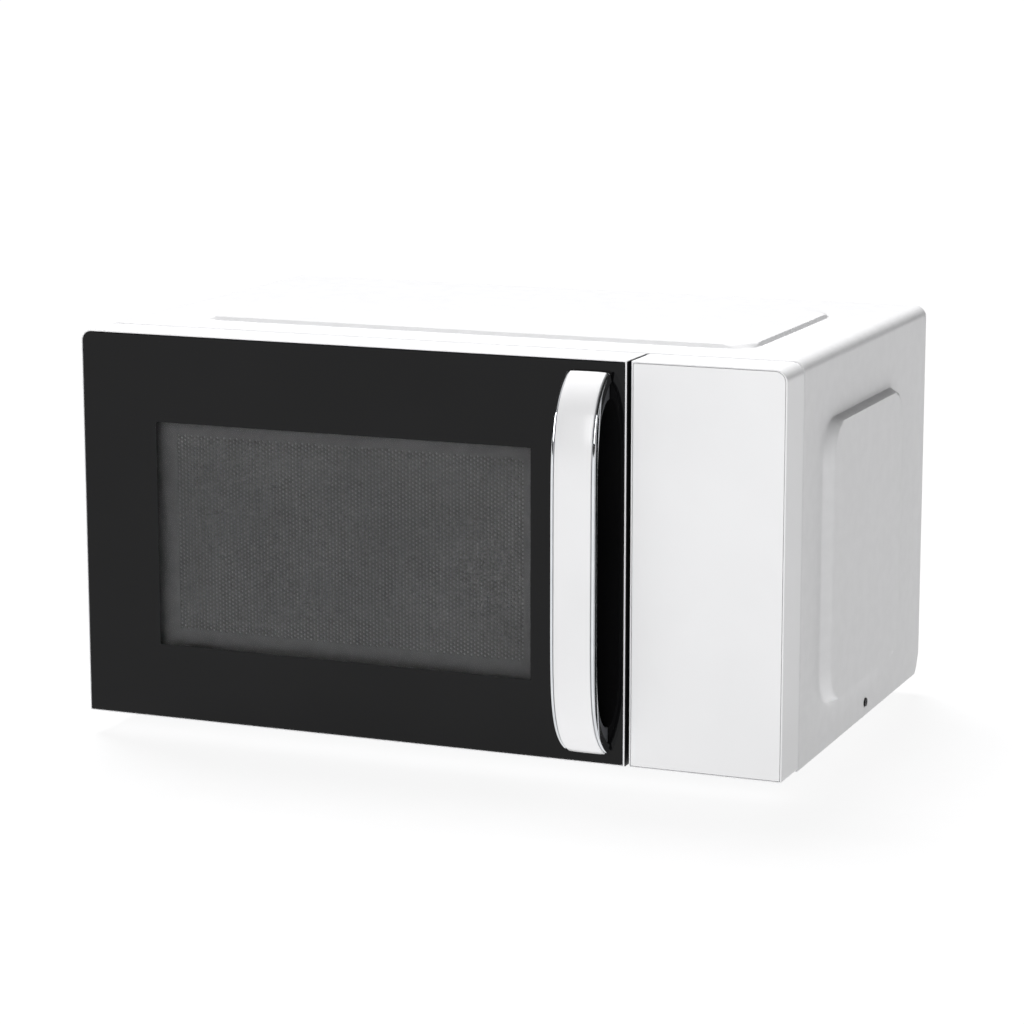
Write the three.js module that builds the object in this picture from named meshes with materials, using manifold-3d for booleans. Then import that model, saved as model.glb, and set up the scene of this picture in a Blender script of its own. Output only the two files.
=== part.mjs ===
// Counter-top microwave oven, built as it comes apart on a bench.
// Working frame: x from the body's left edge, y rearwards from the front face of the door,
// z up from the cabinet's lower edge, in millimetres. The exported group moves this frame
// so that the origin is the bottom centre of the whole object's box.
import * as THREE from "three";
import { ConvexGeometry } from "three/addons/geometries/ConvexGeometry.js";
import { mergeVertices } from "three/addons/utils/BufferGeometryUtils.js";
import Module from "manifold-3d";

const wasm = await Module();
wasm.setup();

// ---------------------------------------------------------------- overall sizes
const BODY_WIDTH = 452;
const CABINET_HEIGHT = 242;
const CABINET_DEPTH = 265; // seam behind the door to the rear edge
const FRONT_DEPTH = 31.8; // moulded front parts, front face to back edge
const PANEL_WIDTH = 93.5; // control panel, right of the door
const FOOT_HEIGHT = 12;

// ---------------------------------------------------------------- sheet and fits
const SHEET = 0.8;
const FIT_GAP = 0.4; // between two fixed pieces that touch
const SEAM_GAP = 0.6; // between the front mouldings and the steel cabinet
const WALL = 2.4; // plastic mouldings
const BOARD = 1.6; // circuit boards
const EDGE = 1.2; // how far the front mouldings stop short of the cabinet's top and foot

// ---------------------------------------------------------------- cabinet
const CABINET_CORNER = 7;
const HEM = 10;
const REAR_RETURN = 12;
const REAR_BEVEL = 9;
const SIDE_PANEL = { front: 38, rear: 65, low: 28, high: 41, corner: 24, rise: 5.5, run: 8, tight: 2.2 };
const TOP_PANEL = { side: 42, front: 31, rear: 65, corner: 18, rise: 2.3, run: 2.5 };
const SIDE_SCREW = { back: 140, z: 9, hole: 3, head: 2.6, pilot: 1.7, shank: 1.4, proud: 0.6, end: 8,
  cross: 1.8, slot: 0.35 };
const BASE_VENTS = { count: 8, first: 16, pitch: 11, width: 5, front: 172, rear: 202 };
const REAR_VENTS = { count: 9, first: 70, pitch: 14, width: 5, low: 150, high: 200 };
const FAN_GRILLE = { count: 9, pitch: 9, tall: 4.5, low: 38, half: 34 };

// ---------------------------------------------------------------- door
const DOOR_GAP = 2.2; // dark line between the door and the control panel
const GLASS = { lipLeft: 1.1, lipRight: 1.8, lipEnd: 1.2, thick: 3.2, corner: 7 };
const WINDOW = { left: 50.8, right: 59.7, low: 47, high: 53.5 }; // margins from the door's edges
const WEB = 2.6;
const SCREEN = { overlap: 10, hinge: 18.5, latch: 24.3, low: 7, high: 7, behind: 1.4, lip: 8 };
const CHOKE = { thick: 3.5, proud: 0.4, opening: 2 };
const PIVOT = { x: 11, back: 13.8, radius: 2.6, clearance: 0.3, boss: 5.5 };
const HINGE = { arm: 2.4, width: 11, inset: 13, height: 26, slot: 1.2 };
const DOOR_OPENS = 100; // degrees

// ---------------------------------------------------------------- handle
const HANDLE = { right: 9.2, width: 26.8, low: 8.6, high: 6.8, out: 29.7, endOut: 4, trim: 2, trimDrop: 0.6 };
const STRIP_THICK = 2.6;
const TRIM_THICK = 6.2;
const HANDLE_BASE_THICK = 3.4;
const FINGER_GAP = { low: 34, high: 34, ramp: 18 };

// ---------------------------------------------------------------- latch
const LATCH = { side: 8.8, width: 11, y: 14, deep: 6, low: 56, high: 56, arm: 8, reach: 19, barb: 3 };
const LATCH_LIFT = 5;
const LATCH_CLEAR = 2.6;
const SPRING = { radius: 3, wire: 0.5, length: 16, turns: 5 };
const SWITCH = { long: 20, wide: 5.2, tall: 10, plunger: 1.2, sink: 2.4, out: 2.6 };

// ---------------------------------------------------------------- control panel
const OVERLAY = { thick: 1.4, lip: 1.3, gap: 0.3 };
const PANEL_CORNER = 7.5;

// ---------------------------------------------------------------- oven cavity
const CAVITY = { left: 26, latchSide: 34.3, low: 18, high: 20, rear: 15 };
const WAVEGUIDE = { deep: 20, front: 86, long: 80, low: 92, tall: 70, lip: 8, wall: 1.2 };
const LAMP = { rear: 38, high: 34, radius: 7, window: 9, holder: 16, tall: 14, deep: 22 };
const AIR_HOLES = { radius: 2, pitch: 8, rows: 2, columns: 3, low: 60, forward: 10 };
const MICA_THICK = 0.8;

// ---------------------------------------------------------------- turntable
const TRAY = { clear: 5, thick: 4, rim: 12 };
const ROLLER = { radius: 7.5, width: 6, inset: 24, axle: 1.6, bore: 2 };
const RING = { inset: 36, width: 6, thick: 5 };
const COUPLER = { radius: 4.5, hole: 8, lobe: 15, lobeWidth: 5 };
const TURNTABLE_MOTOR = { radius: 25, tall: 13, ear: 8, earHalf: 6, earThick: 1.2, tabHalf: 9, tabTo: 34 };

// ---------------------------------------------------------------- component bay
const CORE = { wide: 84, deep: 50, tall: 70, leg: 14, clear: 4.5, front: 18 };
const WINDING_BULGE = 12;
const CAPACITOR = { long: 54, round: 16, tall: 84, side: 30, rear: 85, tab: 9, tabHalf: 3 };
const DIODE = { radius: 3.2, back: 9, from: 14, to: 34, lead: 0.6, leadEnd: 4 };
const FAN = { radius: 42, duct: 45.5, frame: 98, deep: 26, blades: 5, high: 82, hub: 10, blade: 12 };
const FAN_MOTOR = { half: 22, deep: 16, tall: 18, bearing: 13, coilHalf: 14, coilDeep: 24, coilLow: 30 };
const DISPLAY = { side: 31, low: 65, high: 29 };
const PLUG = { left: 20, right: 44, low: 60, high: 68, deep: 7 };
const RELAY = { count: 3, left: 32, right: 14, low: 52, tall: 18, pitch: 24, deep: 16 };
const SUPPLY = { left: 4, right: 28, low: 60, high: 96, deep: 20 };
const SMOOTHER = { radius: 6, x: 12, z: 112, deep: 18 };
const BUZZER = { radius: 8, x: -8, z: 150, deep: 8 };
const FILTER = { left: 38, deep: 66, down: 32, choke: 13, chokeX: 62, chokeY: 40, fuse: 3, varistor: 84 };
const THERMOSTAT = { radius: 8, deep: 7, flange: 16, half: 5, tab: 3 };
const BOARD_EDGE = { low: 30, high: 24 };
const MAGNETRON = { plate: 1.6, body: 62, wall: 1.4, fins: 6, finPitch: 7, finThick: 1, anode: 17, filter: 20 };
const GLAND = { side: 32, z: 40, flange: 9, neck: 6.6, bore: 3.6, out: 3 };
const FOOT = { top: 13, base: 11, pin: 2.8, sideInset: 42, frontInset: 61.2, rearInset: 45 };

const SEGMENTS = 20;
const ARC = 4;

// ---------------------------------------------------------------- derived places
const SEAM_Y = FRONT_DEPTH + SEAM_GAP;
const REAR_Y = SEAM_Y + CABINET_DEPTH;
const PLATE_Y = SEAM_Y + 0.2;
const CAVITY_Y = PLATE_Y + SHEET + FIT_GAP;
const INSIDE = SHEET + FIT_GAP;
const FLOOR_Z = INSIDE;
const MOULDING_LOW = EDGE;
const MOULDING_HIGH = CABINET_HEIGHT - EDGE / 2;
const PIVOT_Y = FRONT_DEPTH - PIVOT.back;
const PANEL_X = BODY_WIDTH - PANEL_WIDTH;
const DOOR_WIDTH = PANEL_X - DOOR_GAP;
const BACK_PANEL_Y = REAR_Y - SHEET - FIT_GAP - SHEET;
const CAVITY_RIGHT = DOOR_WIDTH - CAVITY.latchSide;
const CAVITY_WIDTH = CAVITY_RIGHT - CAVITY.left;
const CAVITY_TOP = CABINET_HEIGHT - CAVITY.high;
const CAVITY_DEEP = CABINET_DEPTH - CAVITY.rear;
const CENTRE = { x: CAVITY.left + CAVITY_WIDTH / 2, y: CAVITY_Y + CAVITY_DEEP / 2 };
const TRAY_RADIUS = Math.min(CAVITY_WIDTH, CAVITY_DEEP) / 2 - TRAY.clear;
const ROLLER_RADIUS = TRAY_RADIUS - ROLLER.inset;
const RING_RADIUS = TRAY_RADIUS - RING.inset;
const BAY_X = CAVITY_RIGHT + SHEET;
const LATCH_X = DOOR_WIDTH - LATCH.side - LATCH.width;
const LATCH_HIGH = CABINET_HEIGHT - LATCH.high;
const HOOKS = [LATCH.low, LATCH_HIGH];
const LATCH_BAY = LATCH_X + LATCH.width + LATCH_CLEAR + 1 + WALL;
const CORE_X = LATCH_BAY + CORE.clear;
const CORE_Y = CAVITY_Y + CORE.front;
const CAPACITOR_X = BODY_WIDTH - CAPACITOR.side - CAPACITOR.long;
const CAPACITOR_Y = REAR_Y - CAPACITOR.rear;
const FAN_Z = CABINET_HEIGHT - FAN.high;
const GLAND_X = BODY_WIDTH - GLAND.side;
const FAN_X = BODY_WIDTH - INSIDE - 4 - FAN.frame / 2;
const FLOOR_TOP = FLOOR_Z + SHEET + FIT_GAP;
const TIP_Y = PLATE_Y + LATCH.reach;

// ---------------------------------------------------------------- materials
const finish = (colour, roughness, metalness) => ({ color: colour, roughness, metalness });
const WHITE_PAINT = finish(0xf4f5f6, 0.42, 0.0);
const WHITE_PLASTIC = finish(0xf2f3f5, 0.3, 0.0);
const WHITE_OVERLAY = finish(0xeceef0, 0.16, 0.0);
const BLACK_GLASS = finish(0x0b0b0c, 0.06, 0.0);
const ENAMEL = finish(0xdfe1df, 0.35, 0.1);
const ZINC = finish(0xb9bdc0, 0.4, 0.9);
const CHROME = finish(0xe6e8ea, 0.08, 1.0);
const STEEL_SCREEN = finish(0x4a4c4e, 0.4, 0.7);
const DARK_PLASTIC = finish(0x3b3c3f, 0.45, 0.0);
const BLACK_PLASTIC = finish(0x161718, 0.5, 0.0);
const CLEAR_GLASS = finish(0xd6e4e2, 0.05, 0.0);
const CLEAR_FILM = finish(0xcfd5d6, 0.1, 0.0);
const NATURAL_PLASTIC = finish(0xe9e7df, 0.4, 0.0);
const MICA = finish(0xb8a988, 0.6, 0.0);
const COPPER = finish(0xa5602f, 0.4, 0.8);
const LAMINATION = finish(0x55585c, 0.5, 0.7);
const ALUMINIUM = finish(0xbfc3c6, 0.35, 0.9);
const BOARD_GREEN = finish(0x2f6b45, 0.5, 0.0);
const RUBBER = finish(0x2a2a2b, 0.85, 0.0);
const SPRING_STEEL = finish(0x9a9da0, 0.3, 0.9);
const AMBER = finish(0xe7d9b0, 0.3, 0.0);

// ---------------------------------------------------------------- solid helpers
const solid = (geometry) => {
  const bare = geometry.clone();
  bare.deleteAttribute("normal");
  bare.deleteAttribute("uv");
  const merged = mergeVertices(bare, 1e-4);
  const vertProperties = merged.attributes.position.array;
  const triVerts = new Uint32Array(merged.index.array);
  return new wasm.Manifold(new wasm.Mesh({ numProp: 3, vertProperties, triVerts }));
};

const surface = (manifold) => {
  const mesh = manifold.getMesh();
  const geometry = new THREE.BufferGeometry();
  geometry.setAttribute("position", new THREE.BufferAttribute(mesh.vertProperties, 3));
  geometry.setIndex(new THREE.BufferAttribute(mesh.triVerts, 1));
  return geometry;
};

const join = (first, ...rest) => surface(rest.reduce((sum, next) => sum.add(solid(next)), solid(first)));
const cut = (first, ...tools) => surface(tools.reduce((sum, tool) => sum.subtract(solid(tool)), solid(first)));
const common = (first, second) => surface(solid(first).intersect(solid(second)));

const block = (x0, x1, y0, y1, z0, z1) => {
  const geometry = new THREE.BoxGeometry(x1 - x0, y1 - y0, z1 - z0);
  return geometry.translate((x0 + x1) / 2, (y0 + y1) / 2, (z0 + z1) / 2);
};

const rodZ = (radius, x, y, z0, z1, sides = SEGMENTS) => {
  const geometry = new THREE.CylinderGeometry(radius, radius, z1 - z0, sides);
  return geometry.rotateX(Math.PI / 2).translate(x, y, (z0 + z1) / 2);
};

const rodY = (radius, x, z, y0, y1, sides = SEGMENTS) => {
  const geometry = new THREE.CylinderGeometry(radius, radius, y1 - y0, sides);
  return geometry.translate(x, (y0 + y1) / 2, z);
};

const rodX = (radius, y, z, x0, x1, sides = SEGMENTS) => {
  const geometry = new THREE.CylinderGeometry(radius, radius, x1 - x0, sides);
  return geometry.rotateZ(Math.PI / 2).translate((x0 + x1) / 2, y, z);
};

const extruded = (shape, depth) => {
  return new THREE.ExtrudeGeometry(shape, { depth, bevelEnabled: false, curveSegments: ARC });
};

// Shape drawn in x and z, standing from y0 back to y1.
const uprightPlate = (shape, y0, y1) => extruded(shape, y1 - y0).rotateX(Math.PI / 2).translate(0, y1, 0);

// Shape drawn in y and z, running from x0 to x1.
const sidePlate = (shape, x0, x1) => {
  const turn = new THREE.Matrix4().makeBasis(
    new THREE.Vector3(0, 1, 0),
    new THREE.Vector3(0, 0, 1),
    new THREE.Vector3(1, 0, 0),
  );
  return extruded(shape, x1 - x0).applyMatrix4(turn).translate(x0, 0, 0);
};

// Rectangle with its own radius at each corner: lower left, lower right, upper right, upper left.
const roundedRectangle = (x0, x1, z0, z1, radii) => {
  const [lowLeft, lowRight, highRight, highLeft] = radii;
  const shape = new THREE.Shape();
  const corner = (cx, cz, radius, start) => {
    if (radius > 0) shape.absarc(cx, cz, radius, start, start + Math.PI / 2, false);
    else shape.lineTo(cx, cz);
  };
  shape.moveTo(x0 + lowLeft, z0);
  corner(x1 - lowRight, z0 + lowRight, lowRight, -Math.PI / 2);
  corner(x1 - highRight, z1 - highRight, highRight, 0);
  corner(x0 + highLeft, z1 - highLeft, highLeft, Math.PI / 2);
  corner(x0 + lowLeft, z0 + lowLeft, lowLeft, Math.PI);
  return shape;
};

const outline = (u0, u1, v0, v1, radius) => {
  return roundedRectangle(u0, u1, v0, v1, [radius, radius, radius, radius]).getPoints(ARC);
};

const lathe = (points, sides = SEGMENTS) => {
  const profile = points.map(([radius, height]) => new THREE.Vector2(radius, height));
  return new THREE.LatheGeometry(profile, sides).rotateX(Math.PI / 2);
};

const group = new THREE.Group();
const piece = (name, geometry, material) => {
  const mesh = new THREE.Mesh(geometry, new THREE.MeshStandardMaterial(material));
  mesh.name = name;
  group.add(mesh);
};

// ---------------------------------------------------------------- cabinet
// A raised panel pressed into sheet: the hull of a wide outline at the sheet and a smaller one above it.
const sidePress = (face, outward, shrink) => {
  const panel = SIDE_PANEL;
  const front = SEAM_Y + panel.front + shrink;
  const rear = REAR_Y - panel.rear - shrink;
  const low = panel.low + shrink;
  const high = CABINET_HEIGHT - panel.high - shrink;
  const base = outline(front, rear, low, high, panel.corner - shrink);
  const inner = panel.corner - panel.tight - shrink;
  const lid = outline(front + panel.run, rear - panel.run, low + panel.tight, high - panel.tight, inner);
  const foot = base.map((p) => new THREE.Vector3(face - outward * SHEET / 2, p.x, p.y));
  const crown = lid.map((p) => new THREE.Vector3(face + outward * panel.rise, p.x, p.y));
  return new ConvexGeometry([...foot, ...crown]);
};

const topPress = (face, shrink) => {
  const panel = TOP_PANEL;
  const left = panel.side + shrink;
  const right = BODY_WIDTH - panel.side - shrink;
  const front = SEAM_Y + panel.front + shrink;
  const rear = REAR_Y - panel.rear - shrink;
  const base = outline(left, right, front, rear, panel.corner - shrink);
  const run = panel.run;
  const lid = outline(left + run, right - run, front + run, rear - run, panel.corner - run - shrink);
  const foot = base.map((p) => new THREE.Vector3(p.x, p.y, face - SHEET / 2));
  const crown = lid.map((p) => new THREE.Vector3(p.x, p.y, face + panel.rise));
  return new ConvexGeometry([...foot, ...crown]);
};

const cabinetOutline = (inset, z0) => {
  const radius = CABINET_CORNER - inset;
  return roundedRectangle(inset, BODY_WIDTH - inset, z0, CABINET_HEIGHT - inset, [0, 0, radius, radius]);
};

const outerCabinet = () => {
  const shell = cut(
    uprightPlate(cabinetOutline(0, 0), SEAM_Y, REAR_Y),
    uprightPlate(cabinetOutline(SHEET, SHEET), SEAM_Y - 1, REAR_Y - SHEET),
    block(HEM, BODY_WIDTH - HEM, SEAM_Y - 1, REAR_Y - REAR_RETURN, -1, SHEET + 1),
    block(REAR_RETURN, BODY_WIDTH - REAR_RETURN, REAR_Y - REAR_RETURN - 1, REAR_Y + 1, -1,
      CABINET_HEIGHT - REAR_RETURN),
  );
  const raised = join(
    shell,
    sidePress(0, -1, 0),
    sidePress(BODY_WIDTH, 1, 0),
    topPress(CABINET_HEIGHT, 0),
  );
  const hollowed = cut(
    raised,
    sidePress(SHEET, -1, SHEET),
    sidePress(BODY_WIDTH - SHEET, 1, SHEET),
    topPress(CABINET_HEIGHT - SHEET, SHEET),
  );
  const screwY = SEAM_Y + SIDE_SCREW.back;
  const holes = rodX(SIDE_SCREW.hole, screwY, SIDE_SCREW.z, -1, BODY_WIDTH + 1, 12);
  const bevel = new THREE.Shape();
  bevel.moveTo(REAR_Y - REAR_BEVEL, -1);
  bevel.lineTo(REAR_Y + 1, -1);
  bevel.lineTo(REAR_Y + 1, REAR_BEVEL);
  return cut(hollowed, holes, sidePlate(bevel, -1, BODY_WIDTH + 1));
};

const basePlate = () => {
  const left = INSIDE;
  const right = BODY_WIDTH - INSIDE;
  const front = CAVITY_Y;
  const rear = BACK_PANEL_Y - REAR_BEVEL;
  const flange = SIDE_SCREW.z + SIDE_SCREW.hole + 2;
  const tray = cut(
    block(left, right, front, rear, FLOOR_Z, FLOOR_Z + flange),
    block(left + SHEET, right - SHEET, front - 1, rear + 1, FLOOR_Z + SHEET, FLOOR_Z + flange + 1),
  );
  const screwY = SEAM_Y + SIDE_SCREW.back;
  const tools = [rodX(SIDE_SCREW.pilot, screwY, SIDE_SCREW.z, 0, BODY_WIDTH, 12)];
  for (const { x, y } of footPlaces()) {
    tools.push(rodZ(FOOT.pin + 0.3, x, y, 0, FLOOR_Z + SHEET + 1, 12));
  }
  const vents = BASE_VENTS;
  for (let i = 0; i < vents.count; i += 1) {
    const x = BAY_X + vents.first + i * vents.pitch;
    tools.push(block(x, x + vents.width, vents.front, vents.rear, 0, FLOOR_Z + SHEET + 1));
  }
  return cut(tray, ...tools);
};

const backPanel = () => {
  const plate = roundedRectangle(INSIDE, BODY_WIDTH - INSIDE, REAR_BEVEL + 2, CABINET_HEIGHT - INSIDE,
    [0, 0, CABINET_CORNER - INSIDE, CABINET_CORNER - INSIDE]);
  const tools = [rodY(GLAND.neck + FIT_GAP, GLAND_X, GLAND.z, REAR_Y - 5, REAR_Y)];
  const grille = FAN_GRILLE;
  for (let i = 0; i < grille.count; i += 1) {
    const z = FAN_Z - grille.low + i * grille.pitch;
    tools.push(block(FAN_X - grille.half, FAN_X + grille.half, REAR_Y - 5, REAR_Y, z, z + grille.tall));
  }
  const vents = REAR_VENTS;
  for (let i = 0; i < vents.count; i += 1) {
    const x = vents.first + i * vents.pitch;
    tools.push(block(x, x + vents.width, REAR_Y - 5, REAR_Y, vents.low, vents.high));
  }
  return cut(uprightPlate(plate, BACK_PANEL_Y, BACK_PANEL_Y + SHEET), ...tools);
};

const latchSlotLow = (hook) => HOOKS[hook] - LATCH.barb - LATCH_CLEAR;
const latchSlotHigh = (hook) => HOOKS[hook] + LATCH.arm + LATCH_LIFT + LATCH_CLEAR;

const latchSlots = (y0, y1, margin) => {
  const x0 = LATCH_X - margin;
  const x1 = LATCH_X + LATCH.width + margin;
  return [0, 1].map((hook) => block(x0, x1, y0, y1, latchSlotLow(hook), latchSlotHigh(hook)));
};

const hingeZ = (upper) => (upper ? MOULDING_HIGH - HINGE.inset : MOULDING_LOW + HINGE.inset);

const frontPlate = () => {
  const radius = CABINET_CORNER - INSIDE;
  const plate = roundedRectangle(INSIDE, BODY_WIDTH - INSIDE, FLOOR_Z, CABINET_HEIGHT - INSIDE,
    [0, 0, radius, radius]);
  const y0 = PLATE_Y;
  const y1 = PLATE_Y + SHEET;
  const tools = [
    block(CAVITY.left, CAVITY_RIGHT, y0 - 1, y1 + 1, CAVITY.low, CAVITY_TOP),
    block(PANEL_X + 12, BODY_WIDTH - 12, y0 - 1, y1 + 1, BOARD_EDGE.low, CABINET_HEIGHT - BOARD_EDGE.low),
    ...latchSlots(y0 - 1, y1 + 1, LATCH_CLEAR + 1),
  ];
  for (const upper of [true, false]) {
    const z = hingeZ(upper);
    const half = HINGE.arm / 2 + HINGE.slot;
    const side = HINGE.width / 2 + HINGE.slot;
    tools.push(block(PIVOT.x - side, PIVOT.x + side, y0 - 1, y1 + 1, z - half, z + half));
  }
  return cut(uprightPlate(plate, y0, y1), ...tools);
};

const sideScrew = (left) => {
  const y = SEAM_Y + SIDE_SCREW.back;
  const head = SHEET + FIT_GAP - 0.1;
  const span = (a, b) => (left ? [a, b] : [BODY_WIDTH - b, BODY_WIDTH - a]);
  const { proud, end, shank, cross } = SIDE_SCREW;
  const [h0, h1] = span(-proud, head);
  const [s0, s1] = span(head - 0.2, end);
  const slot = span(-proud - 0.4, 0.2);
  const half = SIDE_SCREW.slot;
  return cut(
    join(rodX(SIDE_SCREW.head, y, SIDE_SCREW.z, h0, h1, 16), rodX(shank, y, SIDE_SCREW.z, s0, s1, 10)),
    block(slot[0], slot[1], y - cross, y + cross, SIDE_SCREW.z - half, SIDE_SCREW.z + half),
    block(slot[0], slot[1], y - half, y + half, SIDE_SCREW.z - cross, SIDE_SCREW.z + cross),
  );
};

const footPlaces = () => {
  const left = FOOT.sideInset;
  const right = BODY_WIDTH - FOOT.sideInset;
  const front = SEAM_Y + FOOT.frontInset - SEAM_GAP;
  const rear = REAR_Y - FOOT.rearInset;
  return [
    { name: "foot_front_left", x: left, y: front },
    { name: "foot_front_right", x: right, y: front },
    { name: "foot_rear_left", x: left, y: rear },
    { name: "foot_rear_right", x: right, y: rear },
  ];
};

const foot = (x, y) => {
  const top = FLOOR_Z - FIT_GAP / 2;
  const tip = FLOOR_Z + SHEET;
  const profile = [
    [0, -FOOT_HEIGHT],
    [FOOT.base - 1, -FOOT_HEIGHT],
    [FOOT.base, 1 - FOOT_HEIGHT],
    [FOOT.top, top - 2],
    [FOOT.top, top],
    [FOOT.pin, top],
    [FOOT.pin, tip],
    [0, tip],
  ];
  return lathe(profile).translate(x, y, 0);
};

const cordGland = () => {
  const face = REAR_Y - SHEET - FIT_GAP / 2;
  const profile = [
    [GLAND.bore, face - 6],
    [GLAND.neck, face - 6],
    [GLAND.neck, face],
    [GLAND.flange, face],
    [GLAND.flange, face + GLAND.out + SHEET - 1],
    [GLAND.flange - 1, face + GLAND.out + SHEET],
    [GLAND.bore, face + GLAND.out + SHEET],
    [GLAND.bore, face - 6],
  ];
  const points = profile.map(([radius, y]) => new THREE.Vector2(radius, y));
  return new THREE.LatheGeometry(points, SEGMENTS).translate(GLAND_X, 0, GLAND.z);
};

// ---------------------------------------------------------------- cavity and turntable
const ovenCavity = () => {
  const rear = CAVITY_Y + CAVITY_DEEP;
  const shell = cut(
    block(CAVITY.left - SHEET, BAY_X, CAVITY_Y, rear + SHEET, CAVITY.low - SHEET, CAVITY_TOP + SHEET),
    block(CAVITY.left, CAVITY_RIGHT, CAVITY_Y - 1, rear, CAVITY.low, CAVITY_TOP),
  );
  const guide = WAVEGUIDE;
  const y0 = CAVITY_Y + guide.front + guide.lip;
  const y1 = CAVITY_Y + guide.front + guide.long - guide.lip;
  const z0 = guide.low + guide.lip;
  const z1 = guide.low + guide.tall - guide.lip;
  const tools = [
    rodZ(COUPLER.hole, CENTRE.x, CENTRE.y, CAVITY.low - 3, CAVITY.low + 1),
    block(CAVITY_RIGHT - 1, BAY_X + 1, y0, y1, z0, z1),
  ];
  const { radius, pitch, rows, columns, low, forward } = AIR_HOLES;
  for (let row = 0; row < rows; row += 1) {
    for (let column = 0; column < columns; column += 1) {
      const y = CAVITY_Y + CAVITY_DEEP - LAMP.rear - pitch + column * pitch;
      const z = CAVITY_TOP - LAMP.high - pitch / 2 + row * pitch;
      tools.push(rodX(radius, y, z, CAVITY_RIGHT - 1, BAY_X + 1, 6));
      tools.push(rodX(radius, y - forward, low + row * pitch, CAVITY.left - 2, CAVITY.left + 1, 6));
    }
  }
  return cut(shell, ...tools);
};

const waveguideCover = () => {
  const guide = WAVEGUIDE;
  const y0 = CAVITY_Y + guide.front;
  const plate = roundedRectangle(y0, y0 + guide.long, guide.low, guide.low + guide.tall, [4, 4, 4, 4]);
  const x1 = CAVITY_RIGHT - FIT_GAP;
  return sidePlate(plate, x1 - MICA_THICK, x1);
};

const TRAY_FLOOR = CAVITY.low + FIT_GAP + 2 * ROLLER.radius + FIT_GAP;

const glassTurntable = () => {
  const low = TRAY_FLOOR;
  const rim = TRAY_RADIUS;
  const profile = [
    [0, low],
    [rim - 16, low],
    [rim - 5, low + 3],
    [rim, low + TRAY.rim - 2],
    [rim, low + TRAY.rim],
    [rim - 3, low + TRAY.rim],
    [rim - 7, low + TRAY.thick + 3],
    [rim - 17, low + TRAY.thick],
    [0, low + TRAY.thick],
  ];
  return lathe(profile, 48).translate(CENTRE.x, CENTRE.y, 0);
};

const turntableCoupler = () => {
  const lobeLow = CAVITY.low + 6;
  const top = TRAY_FLOOR - FIT_GAP;
  const shaft = rodZ(COUPLER.radius, 0, 0, CAVITY.low - SHEET, top);
  const lobes = [0, 1, 2].map((i) => {
    const half = COUPLER.lobeWidth / 2;
    const arm = block(0, COUPLER.lobe, -half, half, lobeLow, top);
    return arm.rotateZ((i * 2 * Math.PI) / 3);
  });
  const bore = rodZ(COUPLER.radius - 1.6, 0, 0, CAVITY.low - 5, CAVITY.low + 3);
  return cut(join(shaft, ...lobes), bore).translate(CENTRE.x, CENTRE.y, 0);
};

const AXLE_Z = CAVITY.low + FIT_GAP + ROLLER.radius;
const rollerAngle = (i) => (i * 2 * Math.PI) / 3 + Math.PI / 6;

const rollerRing = () => {
  const half = RING.thick / 2;
  const inner = RING_RADIUS - RING.width;
  const hoop = lathe(
    [
      [inner, AXLE_Z - half],
      [RING_RADIUS, AXLE_Z - half],
      [RING_RADIUS, AXLE_Z + half],
      [inner, AXLE_Z + half],
      [inner, AXLE_Z - half],
    ],
    40,
  );
  const axles = [0, 1, 2].map((i) => {
    const end = ROLLER_RADIUS + ROLLER.width / 2 + 2;
    return rodX(ROLLER.axle, 0, AXLE_Z, inner + 1, end, 12).rotateZ(rollerAngle(i));
  });
  return join(hoop, ...axles).translate(CENTRE.x, CENTRE.y, 0);
};

const roller = (i) => {
  const half = ROLLER.width / 2;
  const wheel = [
    [ROLLER.bore, -half],
    [ROLLER.radius - 0.8, -half],
    [ROLLER.radius, 0.8 - half],
    [ROLLER.radius, half - 0.8],
    [ROLLER.radius - 0.8, half],
    [ROLLER.bore, half],
    [ROLLER.bore, -half],
  ];
  const geometry = lathe(wheel, SEGMENTS).rotateY(Math.PI / 2).translate(ROLLER_RADIUS, 0, AXLE_Z);
  return geometry.rotateZ(rollerAngle(i)).translate(CENTRE.x, CENTRE.y, 0);
};

const turntableMotor = () => {
  const top = CAVITY.low - SHEET - FIT_GAP;
  const { radius, tall, ear, earHalf, earThick, tabHalf, tabTo } = TURNTABLE_MOTOR;
  const { x, y } = CENTRE;
  const can = rodZ(radius, x, y, top - tall, top);
  const reach = radius + ear;
  const ears = block(x - reach, x + reach, y - earHalf, y + earHalf, top - earThick, top);
  const shaft = rodZ(COUPLER.radius - 2, x, y, top - 1, CAVITY.low + 2.6);
  const tab = block(x - tabHalf, x + tabHalf, y + radius - 5, y + tabTo, top - 9, top - 3);
  return join(can, ears, shaft, tab);
};

// ---------------------------------------------------------------- component bay
const GUIDE_Y = CAVITY_Y + WAVEGUIDE.front;

const waveguide = () => {
  const guide = WAVEGUIDE;
  const x0 = BAY_X + FIT_GAP;
  const x1 = x0 + guide.deep;
  const high = guide.low + guide.tall;
  const middle = { y: GUIDE_Y + guide.long / 2, z: guide.low + guide.tall / 2 };
  return cut(
    block(x0, x1, GUIDE_Y, GUIDE_Y + guide.long, guide.low, high),
    block(x0 - 1, x1 - guide.wall, GUIDE_Y + guide.wall, GUIDE_Y + guide.long - guide.wall,
      guide.low + guide.wall, high - guide.wall),
    rodX(14, middle.y, middle.z, x1 - 3, x1 + 1),
  );
};

const MAGNETRON_X = BAY_X + FIT_GAP + WAVEGUIDE.deep + FIT_GAP;

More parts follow.
